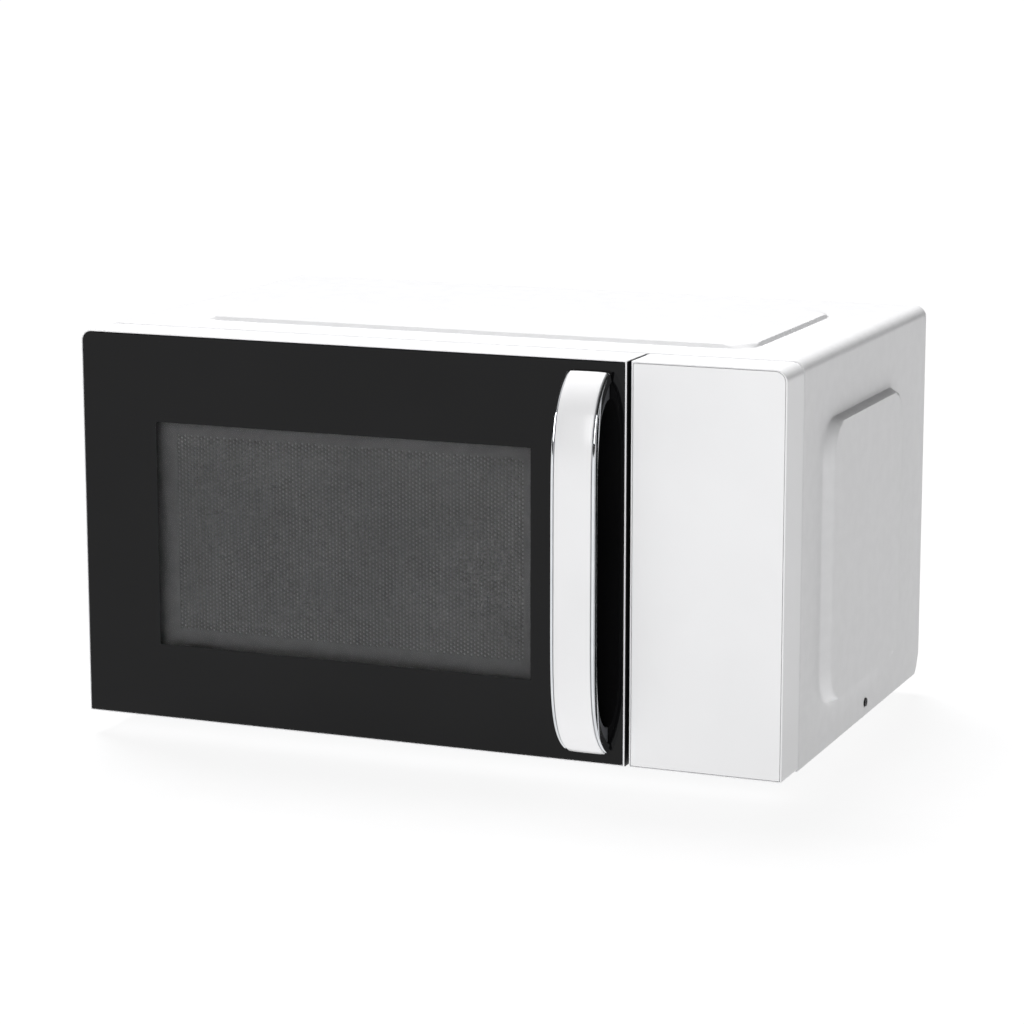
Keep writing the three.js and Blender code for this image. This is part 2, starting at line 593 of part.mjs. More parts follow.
const magnetron = () => {
  const y = GUIDE_Y + WAVEGUIDE.long / 2;
  const z = WAVEGUIDE.low + WAVEGUIDE.tall / 2;
  const { plate, body, wall, fins, finPitch, finThick, anode, filter } = MAGNETRON;
  const half = body / 2;
  const x = MAGNETRON_X;
  const end = x + plate + fins * finPitch;
  const airways = Array.from({ length: fins }, (_, i) => {
    const start = x + plate + i * finPitch;
    const side = half - wall;
    return block(start, start + finPitch - finThick, y - side, y + side, z - half - 1, z + half + 1);
  });
  return join(
    cut(block(x, end, y - half, y + half, z - half, z + half), ...airways),
    block(x + 1, end - 0.5, y - anode, y + anode, z - anode, z + anode),
    block(x, x + plate, y - half - 6, y + half + 6, z - half + 4, z + half - 4),
    block(end - 0.5, end + filter, y - half + 6, y + half - 6, z - half + 7, z + half - 7),
    rodX(12, y, z, x - WAVEGUIDE.deep + 4, x + 1, 16),
  );
};

const transformerCore = () => {
  const { wide, deep, tall, leg } = CORE;
  const x = CORE_X;
  const y = CORE_Y;
  const z = FLOOR_TOP;
  const pocket = (x0) => block(x0, x0 + leg, y - 1, y + deep + 1, z + leg, z + tall - leg);
  return cut(block(x, x + wide, y, y + deep, z, z + tall), pocket(x + leg), pocket(x + wide - 2 * leg));
};

const winding = (z0, z1) => {
  const { wide, deep, leg } = CORE;
  const x = CORE_X;
  const y = CORE_Y;
  const left = x + leg + FIT_GAP;
  const right = x + wide - leg - FIT_GAP;
  const front = y - WINDING_BULGE;
  const rear = y + deep + WINDING_BULGE;
  const coil = roundedRectangle(left, right, front, rear, [8, 8, 8, 8]);
  const inner = block(x + 2 * leg - FIT_GAP, x + wide - 2 * leg + FIT_GAP, y - FIT_GAP, y + deep + FIT_GAP,
    z0 - 1, z1 + 1);
  return cut(extruded(coil, z1 - z0).translate(0, 0, z0), inner);
};

const hvCapacitor = () => {
  const { long, round, tall, tab, tabHalf } = CAPACITOR;
  const x = CAPACITOR_X;
  const y = CAPACITOR_Y;
  const end = round - 0.1;
  const can = roundedRectangle(x, x + long, y - round, y + round, [end, end, end, end]);
  const terminals = [x + long / 3, x + (2 * long) / 3].map((tx) => {
    return block(tx - tabHalf, tx + tabHalf, y - 0.5, y + 0.5, FLOOR_TOP + tall - 1, FLOOR_TOP + tall + tab);
  });
  return join(extruded(can, tall).translate(0, 0, FLOOR_TOP), ...terminals);
};

const hvDiode = () => {
  const x = CAPACITOR_X;
  const { radius, back, from, to, lead, leadEnd } = DIODE;
  const y = CAPACITOR_Y + back;
  const z = FLOOR_TOP + CAPACITOR.tall + FIT_GAP + radius;
  const body = rodX(radius, y, z, x + from, x + to, 12);
  return join(body, rodX(lead, y, z, x + leadEnd, x + CAPACITOR.long - leadEnd - 2, 6));
};

const FAN_Y = BACK_PANEL_Y - FIT_GAP - FAN.deep;

const fanShroud = () => {
  const half = FAN.frame / 2;
  const y1 = FAN_Y + FAN.deep;
  const duct = cut(
    block(FAN_X - half, FAN_X + half, FAN_Y, y1, FAN_Z - half, FAN_Z + half),
    rodY(FAN.duct, FAN_X, FAN_Z, FAN_Y - 1, y1 + 1, 36),
  );
  const arms = [-1, 1].map((side) => {
    const x = FAN_X + side * 12;
    return block(x - 3, x + 3, FAN_Y, FAN_Y + 3, FAN_Z - half + 1, FAN_Z + half - 1);
  });
  return cut(join(duct, ...arms), rodY(6, FAN_X, FAN_Z, FAN_Y - 1, FAN_Y + 4, 16));
};

const fanMotor = () => {
  const y1 = FAN_Y - FIT_GAP;
  const { half, deep, tall, bearing, coilHalf, coilDeep, coilLow } = FAN_MOTOR;
  const laminated = block(FAN_X - half, FAN_X + half, y1 - deep, y1, FAN_Z - tall, FAN_Z + tall);
  const shaft = rodY(1.5, FAN_X, FAN_Z, y1 - deep - 10, FAN_Y + 10, 10);
  const coil = block(FAN_X - coilHalf, FAN_X + coilHalf, y1 - coilDeep, y1 - 4, FAN_Z - coilLow,
    FAN_Z - tall + 2);
  return join(laminated, rodY(bearing, FAN_X, FAN_Z, y1 - deep - 6, y1 - deep + 1, 20), shaft, coil);
};

const fanBlade = () => {
  const y0 = FAN_Y + 7;
  const hub = cut(
    rodY(FAN.hub, 0, 0, y0, y0 + FAN.blade, 20),
    rodY(1.9, 0, 0, y0 - 1, y0 + 6, 10),
  );
  const blades = Array.from({ length: FAN.blades }, (_, i) => {
    const blade = new THREE.BoxGeometry(FAN.radius - FAN.hub + 3, 1.6, 24);
    blade.rotateX(0.5).translate((FAN.radius + FAN.hub - 3) / 2, y0 + FAN.blade / 2, 0);
    return blade.rotateY((i * 2 * Math.PI) / FAN.blades);
  });
  const limit = rodY(FAN.radius, 0, 0, y0 - 2, y0 + FAN.blade + 2, 36);
  return common(join(hub, ...blades), limit).translate(FAN_X, 0, FAN_Z);
};

const ovenLamp = () => {
  const y = CAVITY_Y + CAVITY_DEEP - LAMP.rear;
  const z = CAVITY_TOP - LAMP.high;
  const x = BAY_X + FIT_GAP;
  const { radius, window, holder, tall, deep } = LAMP;
  const plate = cut(
    block(x, x + 2, y - holder, y + holder, z - tall, z + tall),
    rodX(window, y, z, x - 0.1, x + 3, 16),
  );
  return join(
    plate,
    block(x, x + deep, y + holder - 4, y + holder, z - tall, z + tall),
    rodX(radius, y, z, x + 4, x + deep - 4, 16),
    block(x + deep - 10, x + deep, y, y + holder - 2, z - 5, z + 5),
  );
};

const thermostat = (x, y, z) => {
  const { radius, deep, flange, half, tab } = THERMOSTAT;
  const tabs = [-half, half - 1].map((side) => {
    return block(x + deep - 1, x + deep + 6, y + side, y + side + 1, z - tab, z + tab);
  });
  const plate = block(x, x + 1, y - flange, y + flange, z - half, z + half);
  return join(rodX(radius, y, z, x, x + deep, 20), plate, ...tabs);
};

// ---------------------------------------------------------------- control panel
const panelHousing = () => {
  const x1 = BODY_WIDTH;
  const shell = uprightPlate(
    roundedRectangle(PANEL_X, x1, MOULDING_LOW, MOULDING_HIGH, [0, 1.5, PANEL_CORNER, 0]), 0, FRONT_DEPTH,
  );
  const recess = OVERLAY.thick + OVERLAY.gap;
  return cut(
    shell,
    overlayPlate(-1, recess, OVERLAY.lip - OVERLAY.gap),
    block(PANEL_X + WALL, x1 - WALL, recess + WALL, FRONT_DEPTH + 1, MOULDING_LOW + WALL,
      MOULDING_HIGH - PANEL_CORNER),
    block(PANEL_X + WALL, x1 - PANEL_CORNER, recess + WALL, FRONT_DEPTH + 1, MOULDING_LOW + WALL,
      MOULDING_HIGH - WALL),
    block(PANEL_X + DISPLAY.side - 1, x1 - DISPLAY.side + 1, recess - 1, recess + WALL + 1,
      CABINET_HEIGHT - DISPLAY.low - 2, CABINET_HEIGHT - DISPLAY.high + 2),
  );
};

const overlayPlate = (y0, y1, inset) => {
  const corners = [0, 0.5, PANEL_CORNER - inset, 0];
  const low = MOULDING_LOW + inset;
  const high = MOULDING_HIGH - inset;
  return uprightPlate(roundedRectangle(PANEL_X + inset, BODY_WIDTH - inset, low, high, corners), y0, y1);
};

const BOARD_Y = OVERLAY.thick + OVERLAY.gap + WALL + FIT_GAP;

const touchBoard = () => {
  const side = WALL + FIT_GAP;
  const board = block(PANEL_X + side, BODY_WIDTH - side, BOARD_Y, BOARD_Y + BOARD, BOARD_EDGE.low,
    CABINET_HEIGHT - BOARD_EDGE.high);
  const display = block(PANEL_X + DISPLAY.side, BODY_WIDTH - DISPLAY.side, BOARD_Y - 2, BOARD_Y + 1,
    CABINET_HEIGHT - DISPLAY.low, CABINET_HEIGHT - DISPLAY.high);
  const plug = block(PANEL_X + PLUG.left, PANEL_X + PLUG.right, BOARD_Y + 1, BOARD_Y + PLUG.deep,
    PLUG.low, PLUG.high);
  return join(board, display, plug);
};

const controlBoard = () => {
  const y = BOARD_Y + 12;
  const middle = (PANEL_X + BODY_WIDTH) / 2;
  const side = WALL + FIT_GAP;
  const high = CABINET_HEIGHT - BOARD_EDGE.high - 13;
  const parts = [block(PANEL_X + side, BODY_WIDTH - side, y, y + BOARD, BOARD_EDGE.low + 10, high)];
  for (let i = 0; i < RELAY.count; i += 1) {
    const z = RELAY.low + i * RELAY.pitch;
    parts.push(block(middle - RELAY.left, middle - RELAY.right, y + 1, y + RELAY.deep, z, z + RELAY.tall));
  }
  const supply = SUPPLY;
  parts.push(block(middle - supply.left, middle + supply.right, y + 1, y + supply.deep,
    supply.low, supply.high));
  for (const round of [SMOOTHER, BUZZER]) {
    parts.push(rodY(round.radius, middle + round.x, round.z, y + 1, y + round.deep, 14));
  }
  return join(...parts);
};

const filterBoard = () => {
  const { left, deep, down, choke, chokeX, chokeY, fuse, varistor } = FILTER;
  const z = CABINET_HEIGHT - down;
  const y = CAVITY_Y + 6;
  return join(
    block(BAY_X + left, BODY_WIDTH - INSIDE, y, y + deep, z, z + BOARD),
    rodZ(choke, BAY_X + chokeX, y + chokeY, z - 14, z + 1),
    rodX(fuse, y + 12, z + 0.4 - fuse, BAY_X + left + 8, BAY_X + left + 38, 12),
    block(BAY_X + varistor, BAY_X + varistor + 20, y + 20, y + 46, z - 16, z + 1),
  );
};

// ---------------------------------------------------------------- latch
const latchHook = () => {
  const { width, y, deep, low, arm, barb } = LATCH;
  const x = LATCH_X;
  const x1 = x + width;
  const parts = [block(x, x1, y, y + deep, low - 4, LATCH_HIGH + arm + 4)];
  for (const z of HOOKS) {
    const hook = new THREE.Shape();
    hook.moveTo(y + 1, z);
    hook.lineTo(TIP_Y - 8, z);
    hook.lineTo(TIP_Y - 6, z - barb);
    hook.lineTo(TIP_Y - 3, z - barb);
    hook.lineTo(TIP_Y, z + 1);
    hook.lineTo(TIP_Y, z + arm - 1);
    hook.lineTo(TIP_Y - 1, z + arm);
    hook.lineTo(y + 1, z + arm);
    parts.push(sidePlate(hook, x, x1));
  }
  return join(...parts);
};

const SPRING_LOW = LATCH_HIGH + LATCH.arm + 4 + FIT_GAP;

const latchSpring = () => {
  class Helix extends THREE.Curve {
    getPoint(t, target = new THREE.Vector3()) {
      const turn = t * SPRING.turns * 2 * Math.PI;
      const radius = SPRING.radius - SPRING.wire;
      const rise = SPRING.length - 2 * SPRING.wire;
      return target.set(radius * Math.cos(turn), radius * Math.sin(turn), SPRING.wire + t * rise);
    }
  }
  const section = new THREE.Shape();
  section.absarc(0, 0, SPRING.wire, 0, 2 * Math.PI, false);
  const settings = { steps: SPRING.turns * 8, extrudePath: new Helix(), bevelEnabled: false, curveSegments: 2 };
  const coil = new THREE.ExtrudeGeometry(section, settings);
  return coil.translate(LATCH_X + LATCH.width / 2, LATCH.y + LATCH.deep / 2, SPRING_LOW);
};

const SWITCH_Y = TIP_Y + FIT_GAP - 0.1 + SWITCH.out;
const switchPlaces = () => {
  const middle = LATCH_X + (LATCH.width - SWITCH.wide) / 2;
  const apart = (SWITCH.wide + FIT_GAP) / 2;
  const lower = LATCH.low + LATCH.arm / 2;
  const upper = LATCH_HIGH + LATCH.arm / 2;
  return [
    { name: "primary", x: middle, z: upper },
    { name: "secondary", x: middle - apart, z: lower },
    { name: "monitor", x: middle + apart, z: lower },
  ];
};

const switchBody = ({ x, z }) => {
  const { long, wide, tall, plunger, sink } = SWITCH;
  const body = block(x, x + wide, SWITCH_Y, SWITCH_Y + long, z - tall / 2, z + tall / 2);
  const bore = plunger + 0.15;
  const terminals = [-3, 3].map((dz) => {
    return block(x + wide / 2 - 0.4, x + wide / 2 + 0.4, SWITCH_Y + long - 1, SWITCH_Y + long + 6,
      z + dz - 1.2, z + dz + 1.2);
  });
  const pocket = block(x + wide / 2 - bore, x + wide / 2 + bore, SWITCH_Y - 1, SWITCH_Y + sink + 0.4,
    z - bore, z + bore);
  return cut(join(body, ...terminals), pocket);
};

const switchPlunger = ({ x, z }) => {
  const { wide, plunger, sink, out } = SWITCH;
  const middle = x + wide / 2;
  return block(middle - plunger, middle + plunger, SWITCH_Y - out, SWITCH_Y + sink, z - plunger, z + plunger);
};

const latchBoard = () => {
  const x0 = LATCH_X - LATCH_CLEAR - 1;
  const side = LATCH_BAY - WALL;
  const y0 = PLATE_Y + SHEET + FIT_GAP;
  const y1 = SWITCH_Y + SWITCH.long;
  const low = latchSlotLow(0) - 10;
  const high = latchSlotHigh(1) + 10;
  const wall = block(side, side + WALL, y0, y1, low, high);
  const shelves = [0, 1].flatMap((hook) => {
    const under = latchSlotLow(hook) - WALL;
    const over = latchSlotHigh(hook);
    return [
      block(x0, side + 1, y0, y1, under, under + WALL),
      block(x0, side + 1, y0, y1, over, over + WALL),
    ];
  });
  return join(wall, ...shelves);
};

// ---------------------------------------------------------------- door
const doorFrame = () => {
  const round = PIVOT.x;
  const plan = new THREE.Shape();
  plan.moveTo(0, 0);
  plan.lineTo(DOOR_WIDTH, 0);
  plan.lineTo(DOOR_WIDTH, FRONT_DEPTH);
  plan.lineTo(round, FRONT_DEPTH);
  plan.absarc(round, FRONT_DEPTH - round, round, Math.PI / 2, Math.PI, false);
  const low = MOULDING_LOW;
  const high = MOULDING_HIGH;
  const bodyBlock = extruded(plan, high - low).translate(0, 0, low);
  const face = roundedRectangle(0, DOOR_WIDTH, low, high, [0, 0, 0, CABINET_CORNER]);
  const outer = common(bodyBlock, uprightPlate(face, -1, FRONT_DEPTH + 1));
  const web = GLASS.thick + OVERLAY.gap + WEB;
  const inside = new THREE.Shape();
  inside.moveTo(WALL, web);
  inside.lineTo(DOOR_WIDTH - WALL, web);
  inside.lineTo(DOOR_WIDTH - WALL, FRONT_DEPTH + 1);
  inside.lineTo(round, FRONT_DEPTH + 1);
  inside.lineTo(round, FRONT_DEPTH - WALL);
  inside.absarc(round, FRONT_DEPTH - round, round - WALL, Math.PI / 2, Math.PI, false);
  const hollow = extruded(inside, high - low - 2 * WALL).translate(0, 0, low + WALL);
  const topSlope = block(-1, CABINET_CORNER, web - 1, FRONT_DEPTH + 1, high - CABINET_CORNER, high + 1);
  const window = block(WINDOW.left - 4, DOOR_WIDTH - WINDOW.right + 4, 0, web + 1,
    low + WINDOW.low - 4, high - WINDOW.high + 4);
  const shell = cut(
    outer,
    glassPlate(-1, GLASS.thick + OVERLAY.gap, OVERLAY.gap),
    surface(solid(hollow).subtract(solid(topSlope))),
    window,
  );
  return hingedFrame(shell, high, low);
};

// Bosses that turn on the hinge pins, and slots in the left wall that the hinge arms swing through.
const hingedFrame = (shell, high, low) => {
  const bosses = [true, false].map((upper) => {
    const z = hingeZ(upper);
    const start = HINGE.arm / 2 + FIT_GAP;
    const span = upper ? [z + start, high - WALL / 2] : [low + WALL / 2, z - start];
    return rodZ(PIVOT.boss, PIVOT.x, PIVOT_Y, span[0], span[1]);
  });
  const bores = [true, false].map((upper) => {
    const z = hingeZ(upper);
    const start = HINGE.arm / 2 + FIT_GAP;
    const reach = HINGE.inset - WALL - 2;
    const span = upper ? [z + start - 1, z + reach + 1] : [z - reach - 1, z - start + 1];
    return rodZ(PIVOT.radius + PIVOT.clearance, PIVOT.x, PIVOT_Y, span[0], span[1]);
  });
  const past = THREE.MathUtils.degToRad(DOOR_OPENS - 90);
  const armSide = HINGE.width / 2 / Math.cos(past) + PIVOT.x * Math.tan(past);
  const slots = [true, false].map((upper) => {
    const z = hingeZ(upper);
    const half = HINGE.arm / 2 + HINGE.slot;
    return block(-1, PIVOT.x, PIVOT_Y - armSide - FIT_GAP, FRONT_DEPTH + 1, z - half, z + half);
  });
  const joined = join(shell, ...bosses);
  return cut(joined, ...bores, ...slots);
};

const glassPlate = (y0, y1, grow) => {
  const left = GLASS.lipLeft - grow;
  const right = DOOR_WIDTH - GLASS.lipRight + grow;
  const low = MOULDING_LOW + GLASS.lipEnd - grow;
  const high = MOULDING_HIGH - GLASS.lipEnd + grow;
  const corner = GLASS.corner - GLASS.lipEnd + grow;
  return uprightPlate(roundedRectangle(left, right, low, high, [0, 0, 0, corner]), y0, y1);
};

const SCREEN_Y = GLASS.thick + OVERLAY.gap + WEB + SCREEN.behind;
const CHOKE_Y = FRONT_DEPTH + CHOKE.proud - CHOKE.thick;
const SCREEN_REAR = CHOKE_Y - FIT_GAP;

const screenBox = (grow) => {
  const inset = SCREEN.overlap - grow;
  return {
    x0: CAVITY.left + inset,
    x1: CAVITY_RIGHT - inset,
    z0: CAVITY.low + inset,
    z1: CAVITY_TOP - inset,
  };
};

// Steel inner door: a flat pan behind the glass whose rim folds out against the oven's face.
const doorScreen = () => {
  const pan = screenBox(SHEET);
  const hollow = screenBox(0);
  const rear = SCREEN_REAR;
  const x0 = SCREEN.hinge;
  const x1 = DOOR_WIDTH - SCREEN.latch;
  const z0 = MOULDING_LOW + SCREEN.low;
  const z1 = MOULDING_HIGH - SCREEN.high;
  const front = rear - SCREEN.lip;
  const flange = block(x0, x1, rear - SHEET, rear, z0, z1);
  const lip = cut(
    block(x0, x1, front, rear, z0, z1),
    block(x0 + SHEET, x1 - SHEET, front - 1, rear - SHEET, z0 + SHEET, z1 - SHEET),
  );
  const body = join(block(pan.x0, pan.x1, SCREEN_Y, rear, pan.z0, pan.z1), flange, lip);
  return cut(body, block(hollow.x0, hollow.x1, SCREEN_Y + SHEET, rear + 1, hollow.z0, hollow.z1));
};

const windowFilm = () => {
  const box = screenBox(-1);
  const y = SCREEN_Y + SHEET + FIT_GAP;
  return block(box.x0, box.x1, y, y + 0.6, box.z0, box.z1);
};

const chokeCover = () => {
  const opening = screenBox(-CHOKE.opening);
  const inset = WALL + FIT_GAP;
  const rear = FRONT_DEPTH + CHOKE.proud;
  const ring = cut(
    block(PIVOT.x + FIT_GAP, DOOR_WIDTH - inset, CHOKE_Y, rear, MOULDING_LOW + inset, MOULDING_HIGH - inset),
    block(opening.x0, opening.x1, CHOKE_Y - 1, rear + 1, opening.z0, opening.z1),
    ...latchSlots(CHOKE_Y - 1, rear + 1, 1.4),
  );
  const notches = [true, false].map((upper) => {
    const z = hingeZ(upper);
    const half = HINGE.arm / 2 + HINGE.slot;
    return block(-1, SCREEN.hinge, CHOKE_Y - 1, rear + 1, z - half, z + half);
  });
  return cut(ring, ...notches);
};

const hinge = (upper) => {
  const z = hingeZ(upper);
  const half = HINGE.width / 2;
  const y0 = PLATE_Y + SHEET + FIT_GAP;
  const inward = upper ? -1 : 1;
  const ends = [z + inward * HINGE.height, z - inward * (HINGE.arm / 2)].sort((a, b) => a - b);
  const leaf = block(PIVOT.x - half, PIVOT.x + half, y0, y0 + 1.6, ends[0], ends[1]);
  const arm = block(PIVOT.x - half, PIVOT.x + half, PIVOT_Y, y0 + 1, z - HINGE.arm / 2, z + HINGE.arm / 2);
  const nose = rodZ(half, PIVOT.x, PIVOT_Y, z - HINGE.arm / 2, z + HINGE.arm / 2);
  const reach = HINGE.inset - WALL - 2;
  const pin = upper ? [z, z + reach] : [z - reach, z];
  return join(leaf, arm, nose, rodZ(PIVOT.radius, PIVOT.x, PIVOT_Y, pin[0], pin[1]));
};

// ---------------------------------------------------------------- handle
const HANDLE_LOW = HANDLE.low;
const HANDLE_HIGH = MOULDING_HIGH - HANDLE.high;
const BOW_POWER = 6;
const BOW_SOFTNESS = 0.75;
const BOW_STEPS = 28;

// Points (y, z) of the bow, moved inwards along its normal by the offset.
// The stand-off is out * (1 - u^6)^0.75, where u runs from -1 to 1 along the handle.
const bowCurve = (offset) => {
  const middle = (HANDLE_LOW + HANDLE_HIGH) / 2;
  const ending = (1 - (HANDLE.endOut / HANDLE.out) ** (1 / BOW_SOFTNESS)) ** (1 / BOW_POWER);
  const half = (HANDLE_HIGH - HANDLE_LOW) / 2 / ending;
  const reach = Math.asin(ending);
  const stand = (u) => HANDLE.out * Math.max(0, 1 - Math.abs(u) ** BOW_POWER) ** BOW_SOFTNESS;
  return Array.from({ length: BOW_STEPS + 1 }, (_, i) => {
    const u = Math.sin(reach * (-1 + (2 * i) / BOW_STEPS));
    const step = 0.002;
    const slope = (stand(u + step) - stand(u - step)) / (2 * step * half);
    const length = Math.hypot(1, slope);
    const out = stand(u) - offset / length;
    const along = middle + u * half + (offset * slope) / length;
    return new THREE.Vector2(-out, along);
  });
};

const ribbon = (front, back, x0, x1) => {
  return sidePlate(new THREE.Shape([...front, ...back.slice().reverse()]), x0, x1);
};

const HANDLE_X1 = DOOR_WIDTH - HANDLE.right;
const HANDLE_X0 = HANDLE_X1 - HANDLE.width;

const handleStrip = () => {
  return ribbon(bowCurve(0), bowCurve(STRIP_THICK), HANDLE_X0 + HANDLE.trim, HANDLE_X1 - HANDLE.trim);
};

const handleTrim = () => {
  const gap = 0.3;
  const channel = ribbon(bowCurve(HANDLE.trimDrop), bowCurve(TRIM_THICK), HANDLE_X0, HANDLE_X1);
  const seat = ribbon(bowCurve(-2), bowCurve(STRIP_THICK + gap), HANDLE_X0 + HANDLE.trim - gap,
    HANDLE_X1 - HANDLE.trim + gap);
  return cut(channel, seat);
};

// Dark carrier behind the chrome: a bow with a foot at each end, open in the middle for the fingers.
const handleBase = () => {
  const face = -FIT_GAP;
  const inset = 1.4;
  const start = TRIM_THICK + FIT_GAP;
  const low = HANDLE_LOW + FINGER_GAP.low;
  const high = HANDLE_HIGH - FINGER_GAP.high;
  const outside = bowCurve(start).filter((p) => p.x < face - 1);
  const inside = bowCurve(start + HANDLE_BASE_THICK).filter((p) => p.y > low + 2 && p.y < high - 2).reverse();
  const shape = new THREE.Shape([
    new THREE.Vector2(face, outside[0].y),
    ...outside,
    new THREE.Vector2(face, outside[outside.length - 1].y),
    new THREE.Vector2(face, high + FINGER_GAP.ramp),
    new THREE.Vector2(inside[0].x + 2, high),
    ...inside,
    new THREE.Vector2(inside[inside.length - 1].x + 2, low),
    new THREE.Vector2(face, low - FINGER_GAP.ramp),
  ]);
  return sidePlate(shape, HANDLE_X0 + inset, HANDLE_X1 - inset);
};

// ---------------------------------------------------------------- assembly
piece("outer_cabinet", outerCabinet(), WHITE_PAINT);
piece("base_plate", basePlate(), ZINC);
piece("back_panel", backPanel(), ZINC);
piece("front_plate", frontPlate(), ENAMEL);
piece("oven_cavity", ovenCavity(), ENAMEL);
piece("waveguide_cover", waveguideCover(), MICA);
piece("waveguide", waveguide(), ZINC);
piece("magnetron", magnetron(), ALUMINIUM);
piece("transformer_core", transformerCore(), LAMINATION);
const windowLow = FLOOR_TOP + CORE.leg + FIT_GAP;
const windowHigh = FLOOR_TOP + CORE.tall - CORE.leg - FIT_GAP;
const windowMiddle = (windowLow + windowHigh) / 2;
piece("primary_winding", winding(windowLow, windowMiddle - FIT_GAP), COPPER);
piece("secondary_winding", winding(windowMiddle + FIT_GAP, windowHigh), COPPER);
piece("hv_capacitor", hvCapacitor(), ALUMINIUM);
piece("hv_diode", hvDiode(), BLACK_PLASTIC);
piece("fan_shroud", fanShroud(), NATURAL_PLASTIC);
piece("fan_motor", fanMotor(), LAMINATION);
piece("fan_blade", fanBlade(), NATURAL_PLASTIC);
piece("oven_lamp", ovenLamp(), AMBER);
piece("turntable_motor", turntableMotor(), ZINC);
piece("turntable_coupler", turntableCoupler(), NATURAL_PLASTIC);
piece("glass_turntable", glassTurntable(), CLEAR_GLASS);
piece("roller_ring", rollerRing(), NATURAL_PLASTIC);
for (let i = 0; i < 3; i += 1) piece(`roller_${i + 1}`, roller(i), NATURAL_PLASTIC);
piece("control_panel_housing", panelHousing(), WHITE_PLASTIC);
piece("control_panel_overlay", overlayPlate(0, OVERLAY.thick, OVERLAY.lip), WHITE_OVERLAY);
piece("touch_board", touchBoard(), BOARD_GREEN);
piece("control_board", controlBoard(), BOARD_GREEN);
piece("filter_board", filterBoard(), BOARD_GREEN);
piece("latch_board", latchBoard(), NATURAL_PLASTIC);
for (const place of switchPlaces()) {
  piece(`${place.name}_switch`, switchBody(place), BLACK_PLASTIC);
  piece(`${place.name}_plunger`, switchPlunger(place), WHITE_PLASTIC);
}
const magnetronDeep = MAGNETRON.plate + MAGNETRON.fins * MAGNETRON.finPitch + MAGNETRON.filter;
const magnetronEnd = MAGNETRON_X + magnetronDeep + FIT_GAP;
piece("magnetron_thermostat", thermostat(magnetronEnd, GUIDE_Y + WAVEGUIDE.long / 2,
  WAVEGUIDE.low + WAVEGUIDE.tall / 2), BLACK_PLASTIC);
piece("cavity_thermostat", thermostat(BAY_X + FIT_GAP, CAVITY_Y + 48, CAVITY_TOP - 72), BLACK_PLASTIC);
piece("cord_gland", cordGland(), RUBBER);
for (const { name, x, y } of footPlaces()) piece(name, foot(x, y), RUBBER);
piece("side_screw_left", sideScrew(true), ZINC);
piece("side_screw_right", sideScrew(false), ZINC);
piece("upper_hinge", hinge(true), ZINC);
piece("lower_hinge", hinge(false), ZINC);
piece("door_frame", doorFrame(), WHITE_PLASTIC);
piece("door_glass", glassPlate(0, GLASS.thick, 0), BLACK_GLASS);
piece("door_screen", doorScreen(), STEEL_SCREEN);
piece("window_film", windowFilm(), CLEAR_FILM);
piece("choke_cover", chokeCover(), BLACK_PLASTIC);
piece("latch_hook", latchHook(), NATURAL_PLASTIC);
piece("latch_spring", latchSpring(), SPRING_STEEL);
piece("handle_strip", handleStrip(), WHITE_PLASTIC);
piece("handle_trim", handleTrim(), CHROME);
piece("handle_base", handleBase(), DARK_PLASTIC);

// The origin goes to the bottom centre of the whole object: feet below, handle in front, gland behind.
const frontMost = -HANDLE.out;
const rearMost = REAR_Y - FIT_GAP / 2 + GLAND.out;
group.position.set(-BODY_WIDTH / 2, -(frontMost + rearMost) / 2, FOOT_HEIGHT);

const assembly = new THREE.Group();
assembly.add(group);
export default assembly;
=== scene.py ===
# %% [markdown]
# # A counter-top microwave oven in Blender
# The engineering model comes first. It is already the right size, and its bodies already move.
# This lesson dresses it: each part that shows gets a finer surface, and every part gets a real material.
# Lengths are written in millimetres and turned to metres once, when a mesh is made.

# %% Load the engineering model
import math

import bmesh
import bpy
import numpy as np
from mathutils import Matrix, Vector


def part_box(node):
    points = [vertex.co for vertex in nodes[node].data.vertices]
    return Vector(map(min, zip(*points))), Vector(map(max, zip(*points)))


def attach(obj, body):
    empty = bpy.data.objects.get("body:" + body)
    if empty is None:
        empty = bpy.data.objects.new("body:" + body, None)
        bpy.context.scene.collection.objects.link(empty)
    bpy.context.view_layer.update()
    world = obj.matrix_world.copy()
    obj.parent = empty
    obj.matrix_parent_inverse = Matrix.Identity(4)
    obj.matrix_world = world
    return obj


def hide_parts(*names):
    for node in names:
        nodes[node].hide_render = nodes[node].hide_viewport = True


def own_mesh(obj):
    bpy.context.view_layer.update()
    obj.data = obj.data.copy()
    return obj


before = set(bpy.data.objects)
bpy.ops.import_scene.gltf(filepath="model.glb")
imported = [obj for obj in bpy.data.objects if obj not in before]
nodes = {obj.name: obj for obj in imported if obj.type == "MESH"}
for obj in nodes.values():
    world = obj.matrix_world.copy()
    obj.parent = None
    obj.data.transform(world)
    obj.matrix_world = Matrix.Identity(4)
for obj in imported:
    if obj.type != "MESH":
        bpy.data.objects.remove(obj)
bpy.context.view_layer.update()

MM = 0.001


def span(node):
    """Lowest and highest corner of an engineering part, in millimetres."""
    low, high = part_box(node)
    return np.array(low) / MM, np.array(high) / MM


# %% [markdown]
# ## The camera and the studio
# The oven stands on a white sweep under soft light, seen from its front right and a little above.
# A long lens keeps the sides nearly parallel. A broad overhead light from the rear left whitens the top
# and leaves the front walls of the pressed panels a little darker, so that their outline shows. A large
# soft box fills the door and the control side. The right side is lit by the floor alone.

